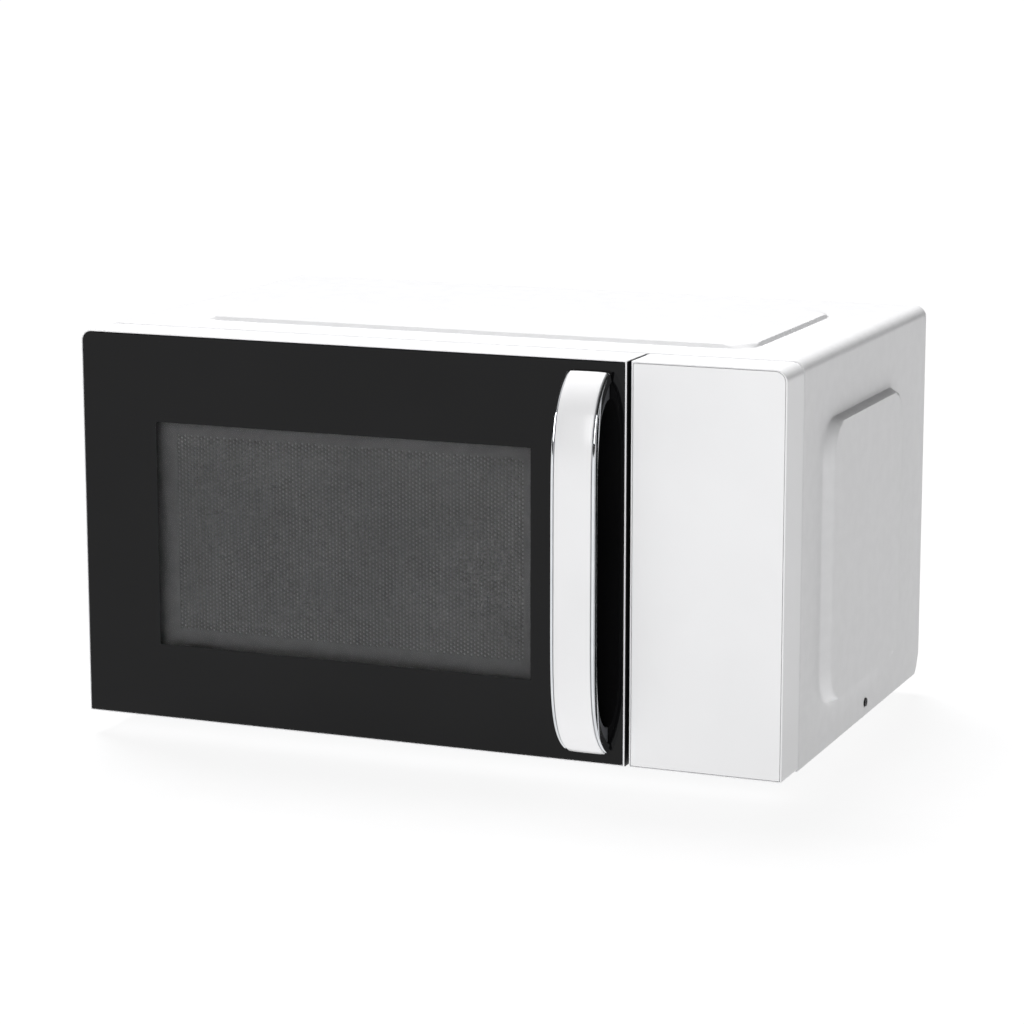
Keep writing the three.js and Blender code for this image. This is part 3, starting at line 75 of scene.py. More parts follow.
# %% Camera
CAMERA_PLACE = (0.7637, -1.8613, 0.5224)
CAMERA_YAW = 22.115
CAMERA_PITCH = -10.845
camera_data = bpy.data.cameras.new("camera")
camera_data.lens = 114.17
camera_data.sensor_width = 36.0
camera_data.shift_x = -0.0052
camera_data.shift_y = -0.0083
camera_data.clip_end = 200.0
camera = bpy.data.objects.new("camera", camera_data)
camera.location = CAMERA_PLACE
camera.rotation_euler = (math.radians(90 + CAMERA_PITCH), 0, math.radians(CAMERA_YAW))
bpy.context.scene.collection.objects.link(camera)
bpy.context.scene.camera = camera

# %% Colours from hex, and one function that adds a node


def linear(hex_colour):
    """sRGB hex to linear RGBA: c / 12.92 below 0.04045, else ((c + 0.055) / 1.055) to the power 2.4."""
    channels = np.array([int(hex_colour[i:i + 2], 16) for i in (1, 3, 5)]) / 255
    low = channels / 12.92
    high = ((channels + 0.055) / 1.055) ** 2.4
    return (*np.where(channels <= 0.04045, low, high).tolist(), 1.0)


def add(tree, kind, values=None, links=None, stops=None, **settings):
    """A node with its settings, its sockets' values, its incoming links and, on a ramp, its colour stops."""
    node = tree.nodes.new("ShaderNode" + kind)
    for name, value in settings.items():
        setattr(node, name, value)
    for socket, value in (values or {}).items():
        node.inputs[socket].default_value = value
    for socket, (source, output) in (links or {}).items():
        tree.links.new(source.outputs[output], node.inputs[socket])
    for number, (place, colour) in enumerate(stops or []):
        elements = node.color_ramp.elements
        element = elements[number] if number < 2 else elements.new(place)
        element.position = place
        element.color = linear(colour)
    return node


def new_finish(name, **values):
    """A material with only a Principled shader, its values, and object coordinates for the patterns."""
    material = bpy.data.materials.new(name)
    material.use_nodes = True
    tree = material.node_tree
    tree.nodes.clear()
    place = add(tree, "TexCoord")
    shader = add(tree, "BsdfPrincipled", values=values)
    add(tree, "OutputMaterial", links={"Surface": (shader, "BSDF")})
    return material, tree, place, shader


def feed(tree, shader, colour, gloss=None, relief=None):
    """The colour node, and the roughness and bump nodes if there are any, feed the shader."""
    for socket, node, output in [("Base Color", colour, "Color"), ("Roughness", gloss, "Result"),
                                 ("Normal", relief, "Normal")]:
        if node:
            tree.links.new(node.outputs[output], shader.inputs[socket])


def per(size):
    """Pattern scale for a feature of this many millimetres, since object coordinates are metres."""
    return 1 / (size * MM)


# %% Lights, floor and air
# The overhead light is kept out of reflections, so the chrome and the glossy strip have no burnt spot.
WORLD_LIGHT = 0.03
OVERHEAD = {"place": (-1.1, 1.3, 3), "power": 5.1, "angle": math.radians(30)}
SOFT_BOX = {"place": (0.2, -3.6, 1.5), "target": (0, 0, 0.1), "power": 70, "size": 2.6, "size_y": 1.8}
world = bpy.data.worlds.new("studio")
world.use_nodes = True
world.node_tree.nodes["Background"].inputs["Color"].default_value = (1.0, 1.0, 1.0, 1.0)
world.node_tree.nodes["Background"].inputs["Strength"].default_value = WORLD_LIGHT
bpy.context.scene.world = world
bpy.context.scene.view_settings.view_transform = "Standard"


def light(name, kind, place, target, power, **settings):
    """A light at place, turned to look at target."""
    data = bpy.data.lights.new(name, kind)
    data.energy = power
    for key, value in settings.items():
        setattr(data, key, value)
    lamp = bpy.data.objects.new(name, data)
    lamp.location = place
    direction = np.array(target) - np.array(place)
    flat = math.hypot(direction[0], direction[1])
    lamp.rotation_euler = (math.atan2(flat, -direction[2]), 0, math.atan2(-direction[0], direction[1]))
    bpy.context.scene.collection.objects.link(lamp)
    return lamp


overhead = light("overhead", "SUN", OVERHEAD["place"], (0, 0, 0), OVERHEAD["power"], angle=OVERHEAD["angle"])
overhead.visible_glossy = False
light("front_box", "AREA", SOFT_BOX["place"], SOFT_BOX["target"], SOFT_BOX["power"], shape="RECTANGLE",
      size=SOFT_BOX["size"], size_y=SOFT_BOX["size_y"])

# The sweep is lit from below as well, so the oven's own shadow on it stays faint.
FLOOR_GLOW = 0.9
floor_finish, tree, place, shader = new_finish("white paper sweep, matt", Roughness=0.9)
fibre = add(tree, "TexNoise", {"Scale": per(40), "Detail": 3.0}, {"Vector": (place, "Object")})
tone = add(tree, "ValToRGB", links={"Fac": (fibre, "Fac")}, stops=[(0.3, "#525253"), (0.7, "#565657")])
feed(tree, shader, tone)
shader.inputs["Specular IOR Level"].default_value = 0.0
shader.inputs["Emission Color"].default_value = (1.0, 1.0, 1.0, 1.0)
shader.inputs["Emission Strength"].default_value = FLOOR_GLOW
FLOOR_REACH = 30.0
FLOOR_DROP = 0.0002
floor_mesh = bpy.data.meshes.new("floor")
corners = [(-1, -1), (1, -1), (1, 1), (-1, 1)]
floor_points = [(x * FLOOR_REACH, y * FLOOR_REACH, -FLOOR_DROP) for x, y in corners]
floor_mesh.from_pydata(floor_points, [], [(0, 1, 2, 3)])
floor_mesh.materials.append(floor_finish)
floor = bpy.data.objects.new("floor", floor_mesh)
bpy.context.scene.collection.objects.link(floor)

# %% [markdown]
# ## Finishes: moulded plastics
# Most of the visible front is injection moulded ABS. The mould is spark eroded, which leaves a fine even
# grain that softens reflections, and the colour wanders by a hair where the plastic flowed.
# One recipe serves all the mouldings, because they differ only in colour, grain and gloss.

# %% Moulded plastic recipe


def moulded(name, dark, light_tone, roughness, grain, depth, **values):
    """Flow marks change the colour, grain drives a fine bump, and broad patches change the gloss a little."""
    material, tree, place, shader = new_finish(name, **values)
    flow = add(tree, "TexNoise", {"Scale": per(60), "Detail": 2.0}, {"Vector": (place, "Object")})
    tone = add(tree, "ValToRGB", links={"Fac": (flow, "Fac")}, stops=[(0.35, dark), (0.65, light_tone)])
    patches = add(tree, "TexNoise", {"Scale": per(25), "Detail": 3.0}, {"Vector": (place, "Object")})
    gloss = add(tree, "MapRange", {"To Min": roughness * 0.9, "To Max": roughness * 1.1},
                {"Value": (patches, "Fac")})
    erosion = add(tree, "TexNoise", {"Scale": per(grain), "Detail": 2.0}, {"Vector": (place, "Object")})
    relief = add(tree, "Bump", {"Strength": 1.0, "Distance": depth * MM}, {"Height": (erosion, "Fac")})
    feed(tree, shader, tone, gloss, relief)
    return material


# Mould grain is about 0.1 mm; it is drawn at 0.6 mm so that it shows.
white_abs = moulded("ABS, moulded, fine spark grain", "#F1F1F2", "#F4F4F5", 0.32, 0.6, 0.004)
# The overlay and the handle's strip are moulded in a polished mould, so they carry a clear sheen.
overlay_abs = moulded("ABS, moulded, polished and lacquered", "#EFEFF0", "#F2F2F3", 0.22, 1.5, 0.002,
                      **{"Coat Weight": 0.5, "Coat Roughness": 0.12})
strip_abs = moulded("ABS, moulded, gloss painted", "#EDEDEE", "#F0F0F1", 0.22, 1.5, 0.001,
                    **{"Coat Weight": 0.15, "Coat Roughness": 0.08})
# Glass fibre filled polyamide behind the chrome: dark, dry and slightly mottled.
dark_polyamide = moulded("polyamide, glass filled, moulded", "#55565A", "#5D5E62", 0.45, 0.7, 0.01)
# Polypropylene behind the door: black, from a sand blasted mould that dulls it. The same black on the walls
# of the gap beside the door is painted shade.
black_polypropylene_and_gap_shade = moulded("polypropylene, moulded, sand blasted mould", "#131415", "#1A1B1C", 0.5, 0.8,
                              0.015)
black_phenolic = moulded("phenolic, moulded, switch cases", "#19191A", "#222223", 0.4, 0.6, 0.006)
# Acetal for the moving parts, left in its own milky colour; light enters it a little way.
natural_acetal = moulded("acetal, moulded, natural colour", "#E4E2DA", "#ECEAE3", 0.36, 0.8, 0.004,
                         **{"Subsurface Weight": 0.08, "Subsurface Scale": 0.002})
foot_rubber = moulded("rubber, moulded, matt", "#252526", "#2E2E2F", 0.8, 0.9, 0.03,
                      **{"Sheen Weight": 0.1, "Sheen Roughness": 0.5})

# %% [markdown]
# ## Finishes: painted and enamelled steel
# The cabinet is steel that was coated before it was folded. The coating levels out with a slight
# orange peel, ripples about two millimetres across that show only where a light's edge is reflected.
# The cooking space has a sprayed enamel that is greyer and has a fine speckle.

# %% Coated steel recipe


def coated(name, dark, light_tone, roughness, ripple, depth, speck, **values):
    """Ripples of the levelled coat give the bump, and fine specks of pigment change the colour."""
    material, tree, place, shader = new_finish(name, **values)
    pigment = add(tree, "TexNoise", {"Scale": per(speck), "Detail": 4.0}, {"Vector": (place, "Object")})
    tone = add(tree, "ValToRGB", links={"Fac": (pigment, "Fac")}, stops=[(0.38, dark), (0.62, light_tone)])
    peel = add(tree, "TexNoise", {"Scale": per(ripple), "Detail": 1.0}, {"Vector": (place, "Object")})
    relief = add(tree, "Bump", {"Strength": 1.0, "Distance": depth * MM}, {"Height": (peel, "Fac")})
    gloss = add(tree, "MapRange", {"To Min": roughness * 0.92, "To Max": roughness * 1.08},
                {"Value": (peel, "Fac")})
    feed(tree, shader, tone, gloss, relief)
    return material


cabinet_paint = coated("steel, coil coated, white polyester", "#E8E8E9", "#EBEBEC", 0.4, 2.2, 0.004, 9)
cavity_enamel = coated("steel, sprayed enamel, light grey", "#CFD2D1", "#DDDFDD", 0.34, 1.8, 0.006, 1.6)

# %% [markdown]
# ## Finishes: bare metals
# Zinc on the folded sheet freezes in flat crystals, the spangle, a few millimetres across, each with its
# own tone. Laminations are stacked sheets, windings are rows of round wire, and fins are rolled
# aluminium: each has lines in one direction at the real spacing, coarser where it would vanish.

# %% Metals
zinc, tree, place, shader = new_finish("steel, hot dip galvanised, spangled", Metallic=1.0)
crystals = add(tree, "TexVoronoi", {"Scale": per(6), "Randomness": 1.0}, {"Vector": (place, "Object")})
facets = add(tree, "RGBToBW", links={"Color": (crystals, "Color")})
tone = add(tree, "ValToRGB", links={"Fac": (facets, "Val")}, stops=[(0.2, "#AEB2B6"), (0.8, "#C0C4C8")])
dull = add(tree, "MapRange", {"To Min": 0.3, "To Max": 0.48}, {"Value": (facets, "Val")})
feed(tree, shader, tone, dull)


def lined(name, dark, light_tone, metallic, roughness, spacing, depth, direction):
    """Bands across one axis at a real spacing, with a little noise along them so that no two are alike."""
    material, tree, place, shader = new_finish(name, Metallic=metallic)
    bands = add(tree, "TexWave", {"Scale": per(spacing) / math.pi, "Distortion": 0.4, "Detail": 1.0},
                {"Vector": (place, "Object")}, wave_type="BANDS", bands_direction=direction)
    wear = add(tree, "TexNoise", {"Scale": per(12), "Detail": 4.0}, {"Vector": (place, "Object")})
    both = add(tree, "Math", links={0: (bands, "Fac"), 1: (wear, "Fac")}, operation="MULTIPLY")
    tone = add(tree, "ValToRGB", links={"Fac": (both, "Value")}, stops=[(0.05, dark), (0.6, light_tone)])
    gloss = add(tree, "MapRange", {"To Min": roughness * 0.85, "To Max": roughness * 1.15},
                {"Value": (wear, "Fac")})
    relief = add(tree, "Bump", {"Strength": 1.0, "Distance": depth * MM}, {"Height": (bands, "Fac")})
    feed(tree, shader, tone, gloss, relief)
    return material


laminations = lined("electrical steel, stacked and varnished", "#3E4145", "#6A6E72", 0.7, 0.45, 1.4, 0.1, "Y")
copper = lined("copper wire, enamelled and wound", "#7A3F1C", "#B46A38", 0.9, 0.32, 1.2, 0.25, "Z")
fins = lined("aluminium, rolled and pressed", "#A9ADB0", "#CBCED0", 1.0, 0.34, 0.8, 0.01, "Z")
spring_wire = lined("spring steel, drawn wire", "#85888B", "#B0B3B6", 1.0, 0.28, 0.4, 0.005, "Z")

# The cabinet's screws have a dull black plating with fine specks in its tone.
black_zinc = coated("steel, black zinc plated screws", "#1C1C1D", "#29292A", 0.5, 0.8, 0.01, 1.0,
                    **{"Metallic": 0.6})

# Chromium over polished nickel: almost a mirror, a trace blue, with the faint waves of the plastic below.
chrome, tree, place, shader = new_finish("chromium plating on plastic, bright", Metallic=1.0)
haze = add(tree, "TexNoise", {"Scale": per(18), "Detail": 2.0}, {"Vector": (place, "Object")})
tone = add(tree, "ValToRGB", links={"Fac": (haze, "Fac")}, stops=[(0.3, "#DADDE0"), (0.7, "#E6E8EA")])
gloss = add(tree, "MapRange", {"To Min": 0.04, "To Max": 0.09}, {"Value": (haze, "Fac")})
feed(tree, shader, tone, gloss)

# %% [markdown]
# ## Finishes: glass, film, mica, boards
# The door's glass is clear and is printed black behind, all but the window. The print seen through glass
# is a deep black with a sharp reflection, so the black part is one glossy dark surface.
# The window is a faintly grey glass that lets the steel screen behind it show.

# %% Glass and the rest
black_glass, tree, place, shader = new_finish("glass, toughened, black ceramic print",
                                              **{"Roughness": 0.03, "IOR": 1.5, "Specular IOR Level": 0.2})
print_tone = add(tree, "TexNoise", {"Scale": per(90), "Detail": 2.0}, {"Vector": (place, "Object")})
tone = add(tree, "ValToRGB", links={"Fac": (print_tone, "Fac")}, stops=[(0.3, "#0A0A0B"), (0.7, "#0E0E0F")])
feed(tree, shader, tone)


def clear(name, tint, other_tint, roughness, ior, wave):
    """A clear surface whose tint wanders a little, with the slow wave of rolled or pressed glass."""
    values = {"Roughness": roughness, "IOR": ior, "Transmission Weight": 1.0}
    material, tree, place, shader = new_finish(name, **values)
    melt = add(tree, "TexNoise", {"Scale": per(wave), "Detail": 1.0}, {"Vector": (place, "Object")})
    tone = add(tree, "ValToRGB", links={"Fac": (melt, "Fac")}, stops=[(0.3, tint), (0.7, other_tint)])
    relief = add(tree, "Bump", {"Strength": 1.0, "Distance": 0.01 * MM}, {"Height": (melt, "Fac")})
    feed(tree, shader, tone, relief=relief)
    return material


window_glass = clear("glass, toughened, clear window", "#E8E8E8", "#EEEEEE", 0.0, 1.1, 60)
tray_glass = clear("glass, pressed, turntable", "#DDE8E6", "#E6EFED", 0.02, 1.5, 14)
lamp_glass = clear("glass, blown, lamp bulb", "#E4D6AE", "#ECE0BE", 0.05, 1.45, 6)
# The film over the screen's back is milky, so each hole reads a little lighter than the steel round it.
milky_film = moulded("polyester film, milky, drawn", "#A8A8A9", "#AEAEAF", 0.35, 1.2, 0.001)

# Perforated steel, painted a satin dark grey: the paint is even and hides the zinc.
screen_paint = coated("steel, perforated, dark grey stoved paint", "#525253", "#585859", 0.42, 1.5, 0.004, 6)

# Mica flakes bonded with silicone: brown and cream scales a couple of millimetres across.
mica, tree, place, shader = new_finish("mica sheet, pressed flakes", Roughness=0.55)
flakes = add(tree, "TexVoronoi", {"Scale": per(2.5)}, {"Vector": (place, "Object")}, distance="CHEBYCHEV")
shade = add(tree, "RGBToBW", links={"Color": (flakes, "Color")})
tone = add(tree, "ValToRGB", links={"Fac": (shade, "Val")}, stops=[(0.2, "#A39272"), (0.8, "#C9BA98")])
relief = add(tree, "Bump", {"Strength": 0.6, "Distance": 0.05 * MM}, {"Height": (shade, "Val")})
feed(tree, shader, tone, relief=relief)

# Circuit board: green lacquer over copper tracks about a millimetre wide.
board_green, tree, place, shader = new_finish("glass epoxy board, green lacquer", Roughness=0.35)
tracks = add(tree, "TexBrick", {"Scale": per(6), "Mortar Size": 0.06, "Color1": linear("#2B6140"),
                                "Color2": linear("#2F6A46"), "Mortar": linear("#4E8A5E")},
             {"Vector": (place, "Object")})
relief = add(tree, "Bump", {"Strength": 0.5, "Distance": 0.05 * MM}, {"Height": (tracks, "Fac")})
feed(tree, shader, tracks, relief=relief)
print("finishes:", len(bpy.data.materials))

# %% [markdown]
# ## From numbers to a mesh
# Every new part is a table of points worked out with numpy. Three helpers are enough: faces for a grid,
# a rounded rectangle drawn as a ring, and a function that turns points and faces into a Blender object
# that rides on the right body and stands for the engineering part.

# %% Mesh helpers


def grid_faces(ids, close_rows=False, close_columns=False):
    """Quads over a table of point numbers: each takes four neighbours, and a closed side wraps round."""
    rows = np.vstack([ids, ids[:1]]) if close_rows else ids
    table = np.hstack([rows, rows[:, :1]]) if close_columns else rows
    return np.stack([table[:-1, :-1], table[:-1, 1:], table[1:, 1:], table[1:, :-1]], -1).reshape(-1, 4)


CORNER_STEPS = 6


def ring(box, inset, depth, radii):
    """Rounded rectangle in x and z. Each corner is its centre plus radius times (cos, sin).
    box, inset: left, right, low, high. depth: y at right, top, left and low, blended round the corners.
    radii: low right, high right, high left, low left."""
    left, right, low, high = box[0] + inset[0], box[1] - inset[1], box[2] + inset[2], box[3] - inset[3]
    turn = np.linspace(0, math.pi / 2, CORNER_STEPS + 1)
    share = np.linspace(0, 1, CORNER_STEPS + 1)
    depths = np.broadcast_to(np.asarray(depth, float), 4)
    from_to = [(3, 0), (0, 1), (1, 2), (2, 3)]
    parts = []
    for number, (x, z) in enumerate([(right, low), (right, high), (left, high), (left, low)]):
        radius = radii[number]
        start = math.pi / 2 * (number - 1)
        centre_x = x - radius if x == right else x + radius
        centre_z = z - radius if z == high else z + radius
        before, after = (depths[side] for side in from_to[number])
        arc = np.stack([centre_x + radius * np.cos(start + turn), before + (after - before) * share,
                        centre_z + radius * np.sin(start + turn)], -1)
        parts.append(arc)
    return np.concatenate(parts)


pieces = []


def make_piece(name, points, faces, finishes, body, replaced, sharp=35, indices=None):
    """Points in millimetres and faces become an object that rides on a body and replaces some parts."""
    mesh = bpy.data.meshes.new(name)
    mesh.from_pydata((np.asarray(points) * MM).tolist(), [], [list(map(int, face)) for face in faces])
    for finish in finishes:
        mesh.materials.append(finish)
    if indices is not None:
        mesh.polygons.foreach_set("material_index", np.asarray(indices, np.int32))
    mesh.polygons.foreach_set("use_smooth", np.ones(len(mesh.polygons), bool))
    mesh.set_sharp_from_angle(angle=math.radians(sharp))
    mesh.validate()
    mesh.update()
    piece = bpy.data.objects.new(name, mesh)
    bpy.context.scene.collection.objects.link(piece)
    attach(piece, body)
    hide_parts(*replaced)
    pieces.append(piece)
    print(f"{name}: {len(mesh.vertices)} points, {len(mesh.polygons)} faces")
    return piece


def thicken(piece, thickness):
    """Solidify gives a sheet its thickness; its offset of -1 keeps the modelled surface outermost."""
    solid = piece.modifiers.new("thickness", "SOLIDIFY")
    solid.thickness = thickness * MM
    solid.offset = -1.0
    solid.use_even_offset = True
    return piece


def soften_edges(piece, width, angle):
    """A bevel of this width in millimetres on every edge that turns by more than the angle in degrees."""
    edge = piece.modifiers.new("soft edge", "BEVEL")
    edge.width = width * MM
    edge.segments = 2
    edge.limit_method = "ANGLE"
    edge.angle_limit = math.radians(angle)
    return edge


def capped(rows, flip=False):
    """Rows of equal length are joined, and one flat face closes each end. Flip turns every face over, for a
    section that runs the other way round."""
    rows = np.asarray(rows)
    ids = np.arange(rows.shape[0] * rows.shape[1]).reshape(rows.shape[:2])
    faces = grid_faces(ids, close_columns=True).tolist() + [ids[0][::-1].tolist(), ids[-1].tolist()]
    return rows.reshape(-1, 3), [face[::-1] for face in faces] if flip else faces


# %% [markdown]
# ## The cabinet
# The outer cabinet is one sheet folded over the oven like an upside down U. Each side has a large panel
# pressed outwards, with a long ramp at its front and rear and a tight one above and below, and the top
# has a shallow one. A grid follows the sheet round the U one way and from front to rear the other way.
# The press is a height added to it: the distance in from the panel's rounded outline, over the ramp's run.

# %% Cabinet sheet
SHEET = 0.8
SIDE = {"front": 38.0, "rear": 65.0, "low": 28.0, "high": 41.0, "corner": 24.0, "rise": 5.5, "run": 8.0,
        "tight": 2.2}
TOP = {"side": 42.0, "front": 31.0, "rear": 65.0, "corner": 18.0, "rise": 2.3, "run": 1.4}
STRAIGHT = 0.95
CABINET_CORNER = 7.0
FRONT_CHAMFER = 0.8
FOLD = 1.0
HEM = 10.0
REAR_RETURN = 12.0
REAR_BEVEL = 9.0
SCREW = {"back": 140.0, "z": 9.0, "hole": 3.0, "cell": 4.5}
low, high = span("outer_cabinet")
half_width = high[0] - SIDE["rise"]
cabinet_low, cabinet_high = low[2], high[2] - TOP["rise"]
seam, rear = low[1], high[1]
height = cabinet_high - cabinet_low
width = 2 * half_width


def stations(*stretches):
    """Positions with their own spacing in each stretch: (end, steps) after the first start."""
    start = stretches[0]
    values = [np.array([start])]
    for end, steps in stretches[1:]:
        values.append(np.linspace(start, end, steps + 1)[1:])
        start = end
    return np.concatenate(values)


def rounded_depth(u, v, u0, u1, v0, v1, radius):
    """Distance in from a rounded rectangle's outline, and its direction: in a corner square it is the
    radius less the distance from the corner's centre, elsewhere the distance to the nearest side."""
    across = np.minimum(u - u0, u1 - u)
    along = np.minimum(v - v0, v1 - v)
    in_corner = (across < radius) & (along < radius)
    a, b = radius - across, radius - along
    reach = np.hypot(a, b)
    depth = np.where(in_corner, radius - reach, np.minimum(across, along))
    share = np.where(in_corner, (a / np.maximum(reach, 1e-6)) ** 2, (across < along).astype(float))
    return depth, share


def pressed(depth, run, rise):
    """Height of a pressed panel: the ramp from 0 to 1 over the run, mostly straight and a little eased."""
    t = np.clip(depth / run, 0, 1)
    return rise * (STRAIGHT * t + (1 - STRAIGHT) * t * t * (3 - 2 * t))


side_low, side_high = SIDE["low"], height - SIDE["high"]
side_z = stations(FOLD, (SCREW["z"] - SCREW["cell"], 2), (SCREW["z"] + SCREW["cell"], 1), (side_low, 6),
                  (side_low + SIDE["tight"], 3), (side_low + 30, 18), (side_high - 30, 8),
                  (side_high - SIDE["tight"], 18), (side_high, 3), (height - CABINET_CORNER, 8))
top_right = width - TOP["side"]
top_x = stations(CABINET_CORNER, (TOP["side"], 8), (TOP["side"] + TOP["run"], 3), (TOP["side"] + 24, 14),
                 (top_right - 24, 12), (top_right - TOP["run"], 14), (top_right, 3),
                 (width - CABINET_CORNER, 8))
depth_total = rear - seam
back = depth_total - SIDE["rear"]
cabinet_y = stations(FRONT_CHAMFER, (TOP["front"], 8), (TOP["front"] + TOP["run"], 3), (SIDE["front"], 3),
                     (SIDE["front"] + SIDE["run"], 6), (SIDE["front"] + 30, 14),
                     (SCREW["back"] - SCREW["cell"], 6), (SCREW["back"] + SCREW["cell"], 1), (back - 30, 3),
                     (back - SIDE["run"], 14), (back - TOP["run"], 4), (back, 3),
                     (depth_total - REAR_BEVEL, 8), (depth_total - 1.0, 5))


def cabinet_path(inset):
    """The U seen from the front, from the left hem to the right one, moved in by the inset."""
    bend = np.linspace(0, math.pi / 2, 9)[1:]
    corner = max(CABINET_CORNER - inset, 0.2)
    fold = np.linspace(0, math.pi / 2, 5)
    hem_x = -half_width + np.linspace(HEM, FOLD, 5)
    hem = np.stack([hem_x, np.zeros(5)], -1)
    fold_points = np.stack([-half_width + FOLD - FOLD * np.sin(fold), FOLD - FOLD * np.cos(fold)], -1)[1:]
    side = np.stack([np.full(len(side_z) - 1, -half_width), side_z[1:]], -1)
    centre = np.array([-half_width + CABINET_CORNER, height - CABINET_CORNER])
    arc = centre + CABINET_CORNER * np.stack([-np.cos(bend), np.sin(bend)], -1)
    half = np.concatenate([hem, fold_points, side, arc])
    if inset:
        turned = centre + corner * np.stack([-np.cos(bend), np.sin(bend)], -1)
        turned += (CABINET_CORNER - inset - corner) * np.array([-1.0, 1.0])
        half = np.concatenate([hem, fold_points + [inset, 0], side + [inset, 0], turned])
        half[:len(hem)] = [-half_width + inset, 0]
        half[:, 1] = np.minimum(half[:, 1], height - inset)
    middle = np.stack([-half_width + top_x[1:-1], np.full(len(top_x) - 2, height - inset)], -1)
    if inset:
        middle[:, 0] = np.clip(middle[:, 0], half[-1, 0], -half[-1, 0])
    other = half[::-1] * [-1, 1]
    return np.concatenate([half, middle, other])


path = cabinet_path(0.0)
edge_path = cabinet_path(1.0)
front_path = cabinet_path(FRONT_CHAMFER)
return_paths = [cabinet_path(inset) for inset in (4.0, 8.0, REAR_RETURN)]


def cabinet_points():
    """Path point and depth give the sheet; the press moves it out, and the rear bends in to a return."""
    x, z = path[:, 0][None, :], path[:, 1][None, :]
    y = cabinet_y[:, None]
    limit = np.minimum(depth_total, depth_total - REAR_BEVEL + z)
    y_cut = y * limit / depth_total
    depth_in, share = rounded_depth(y, z, SIDE["front"], back, side_low, side_high, SIDE["corner"])
    run = SIDE["run"] * share + SIDE["tight"] * (1 - share)
    side_height = pressed(depth_in, run, SIDE["rise"])
    on_side = (np.abs(x) > half_width - 0.01) & (z > side_low)
    top_depth, _ = rounded_depth(x + half_width, y, TOP["side"], width - TOP["side"], TOP["front"],
                                 depth_total - TOP["rear"], TOP["corner"])
    top_height = pressed(top_depth, TOP["run"], TOP["rise"])
    on_top = z > height - 0.01
    full_x = np.where(on_side, x + np.sign(x) * side_height, x + 0 * y)
    full_z = np.where(on_top, z + top_height, z + 0 * y)
    front = np.stack([front_path[:, 0], np.zeros(len(front_path)), front_path[:, 1]], -1)
    rows = [front[None], np.stack([full_x, y_cut + 0 * x, full_z], -1)]
    rows += [np.stack([inset_path[:, 0], limit[0], inset_path[:, 1]], -1)[None]
             for inset_path in [edge_path] + return_paths]
    points = np.concatenate(rows)
    return points + [0, seam, cabinet_low]


points = cabinet_points()
row_count, column_count = points.shape[:2]
ids = np.arange(row_count * column_count).reshape(row_count, column_count)
quads = grid_faces(ids).reshape(row_count - 1, column_count - 1, 4)
keep = np.ones((row_count - 1, column_count - 1), bool)
hem_columns = 8
keep[len(cabinet_y):, :hem_columns] = False
keep[len(cabinet_y):, -hem_columns:] = False


def round_hole(corner_ids, first_id, steps=16):
    """Faces between a square's corners and a circle: one for each side, with a quarter of the circle."""
    quarter = steps // 4
    return [[corner_ids[i], corner_ids[(i + 1) % 4]]
            + [first_id + (i * quarter + k) % steps for k in range(quarter, -1, -1)] for i in range(4)]


hole_row = int(np.searchsorted(cabinet_y, SCREW["back"]))
side_columns = [int(np.argmax(path[:, 1] > SCREW["z"])) - 1]
side_columns.append(column_count - 2 - side_columns[0])
extra, hole_faces = [], []
for column in side_columns:
    keep[hole_row, column] = False
    corner_ids = [int(k) for k in quads[hole_row, column]]
    flat = points.reshape(-1, 3)[corner_ids]
    centre = flat.mean(0)
    towards = np.arctan2(flat[:, 2] - centre[2], flat[:, 1] - centre[1])
    sign = 1 if ((towards[1] - towards[0] + math.pi) % (2 * math.pi) - math.pi) > 0 else -1
    angle = towards[0] + sign * np.arange(16) * math.pi / 8
    circle = np.stack([np.full(16, centre[0]), centre[1] + SCREW["hole"] * np.cos(angle),
                       centre[2] + SCREW["hole"] * np.sin(angle)], -1)
    hole_faces += round_hole(corner_ids, points.size // 3 + 16 * len(extra))
    extra.append(circle)
cabinet_faces = [list(face) for face in quads[keep]] + hole_faces
cabinet = make_piece("cabinet_sheet", np.concatenate([points.reshape(-1, 3)] + extra), cabinet_faces,
                     [cabinet_paint], "chassis", ["outer_cabinet"], sharp=50)
thicken(cabinet, SHEET)

# %% [markdown]
# ## The door's moulding
# The door is a shallow moulded tray. A thin lip runs round the glass, the walls go back to the oven's
# face, and the left wall turns round the hinge in a large radius. The section is carried round the door
# as a list of rings, from the seat of the glass over the lip and the outer wall to the hollow inside.
# Two slots in the left wall let the hinge arms through.

# %% Door moulding
WALL = 2.4
SEAT_DEPTH = 3.5
WEB = 2.6
DOOR_TURN = 11.0
low, high = span("door_frame")
door_box = (low[0], high[0], low[2], high[2])
door_face, door_back = low[1], high[1]
seat = (0.8, 1.5, 0.9, 0.9)
opening = (46.8, 55.7, 43.0, 49.5)
SLOT_START = 10.0
hinge_low, hinge_high = span("lower_hinge"), span("upper_hinge")
SLOT_CLEAR = 1.2
HINGE_ARM = 2.4
slot_half = HINGE_ARM / 2 + SLOT_CLEAR
slot_middles = [hinge_low[0][2] + HINGE_ARM / 2 - low[2], hinge_high[1][2] - HINGE_ARM / 2 - low[2]]
slot_spans = [(middle - slot_half, middle + slot_half) for middle in slot_middles]


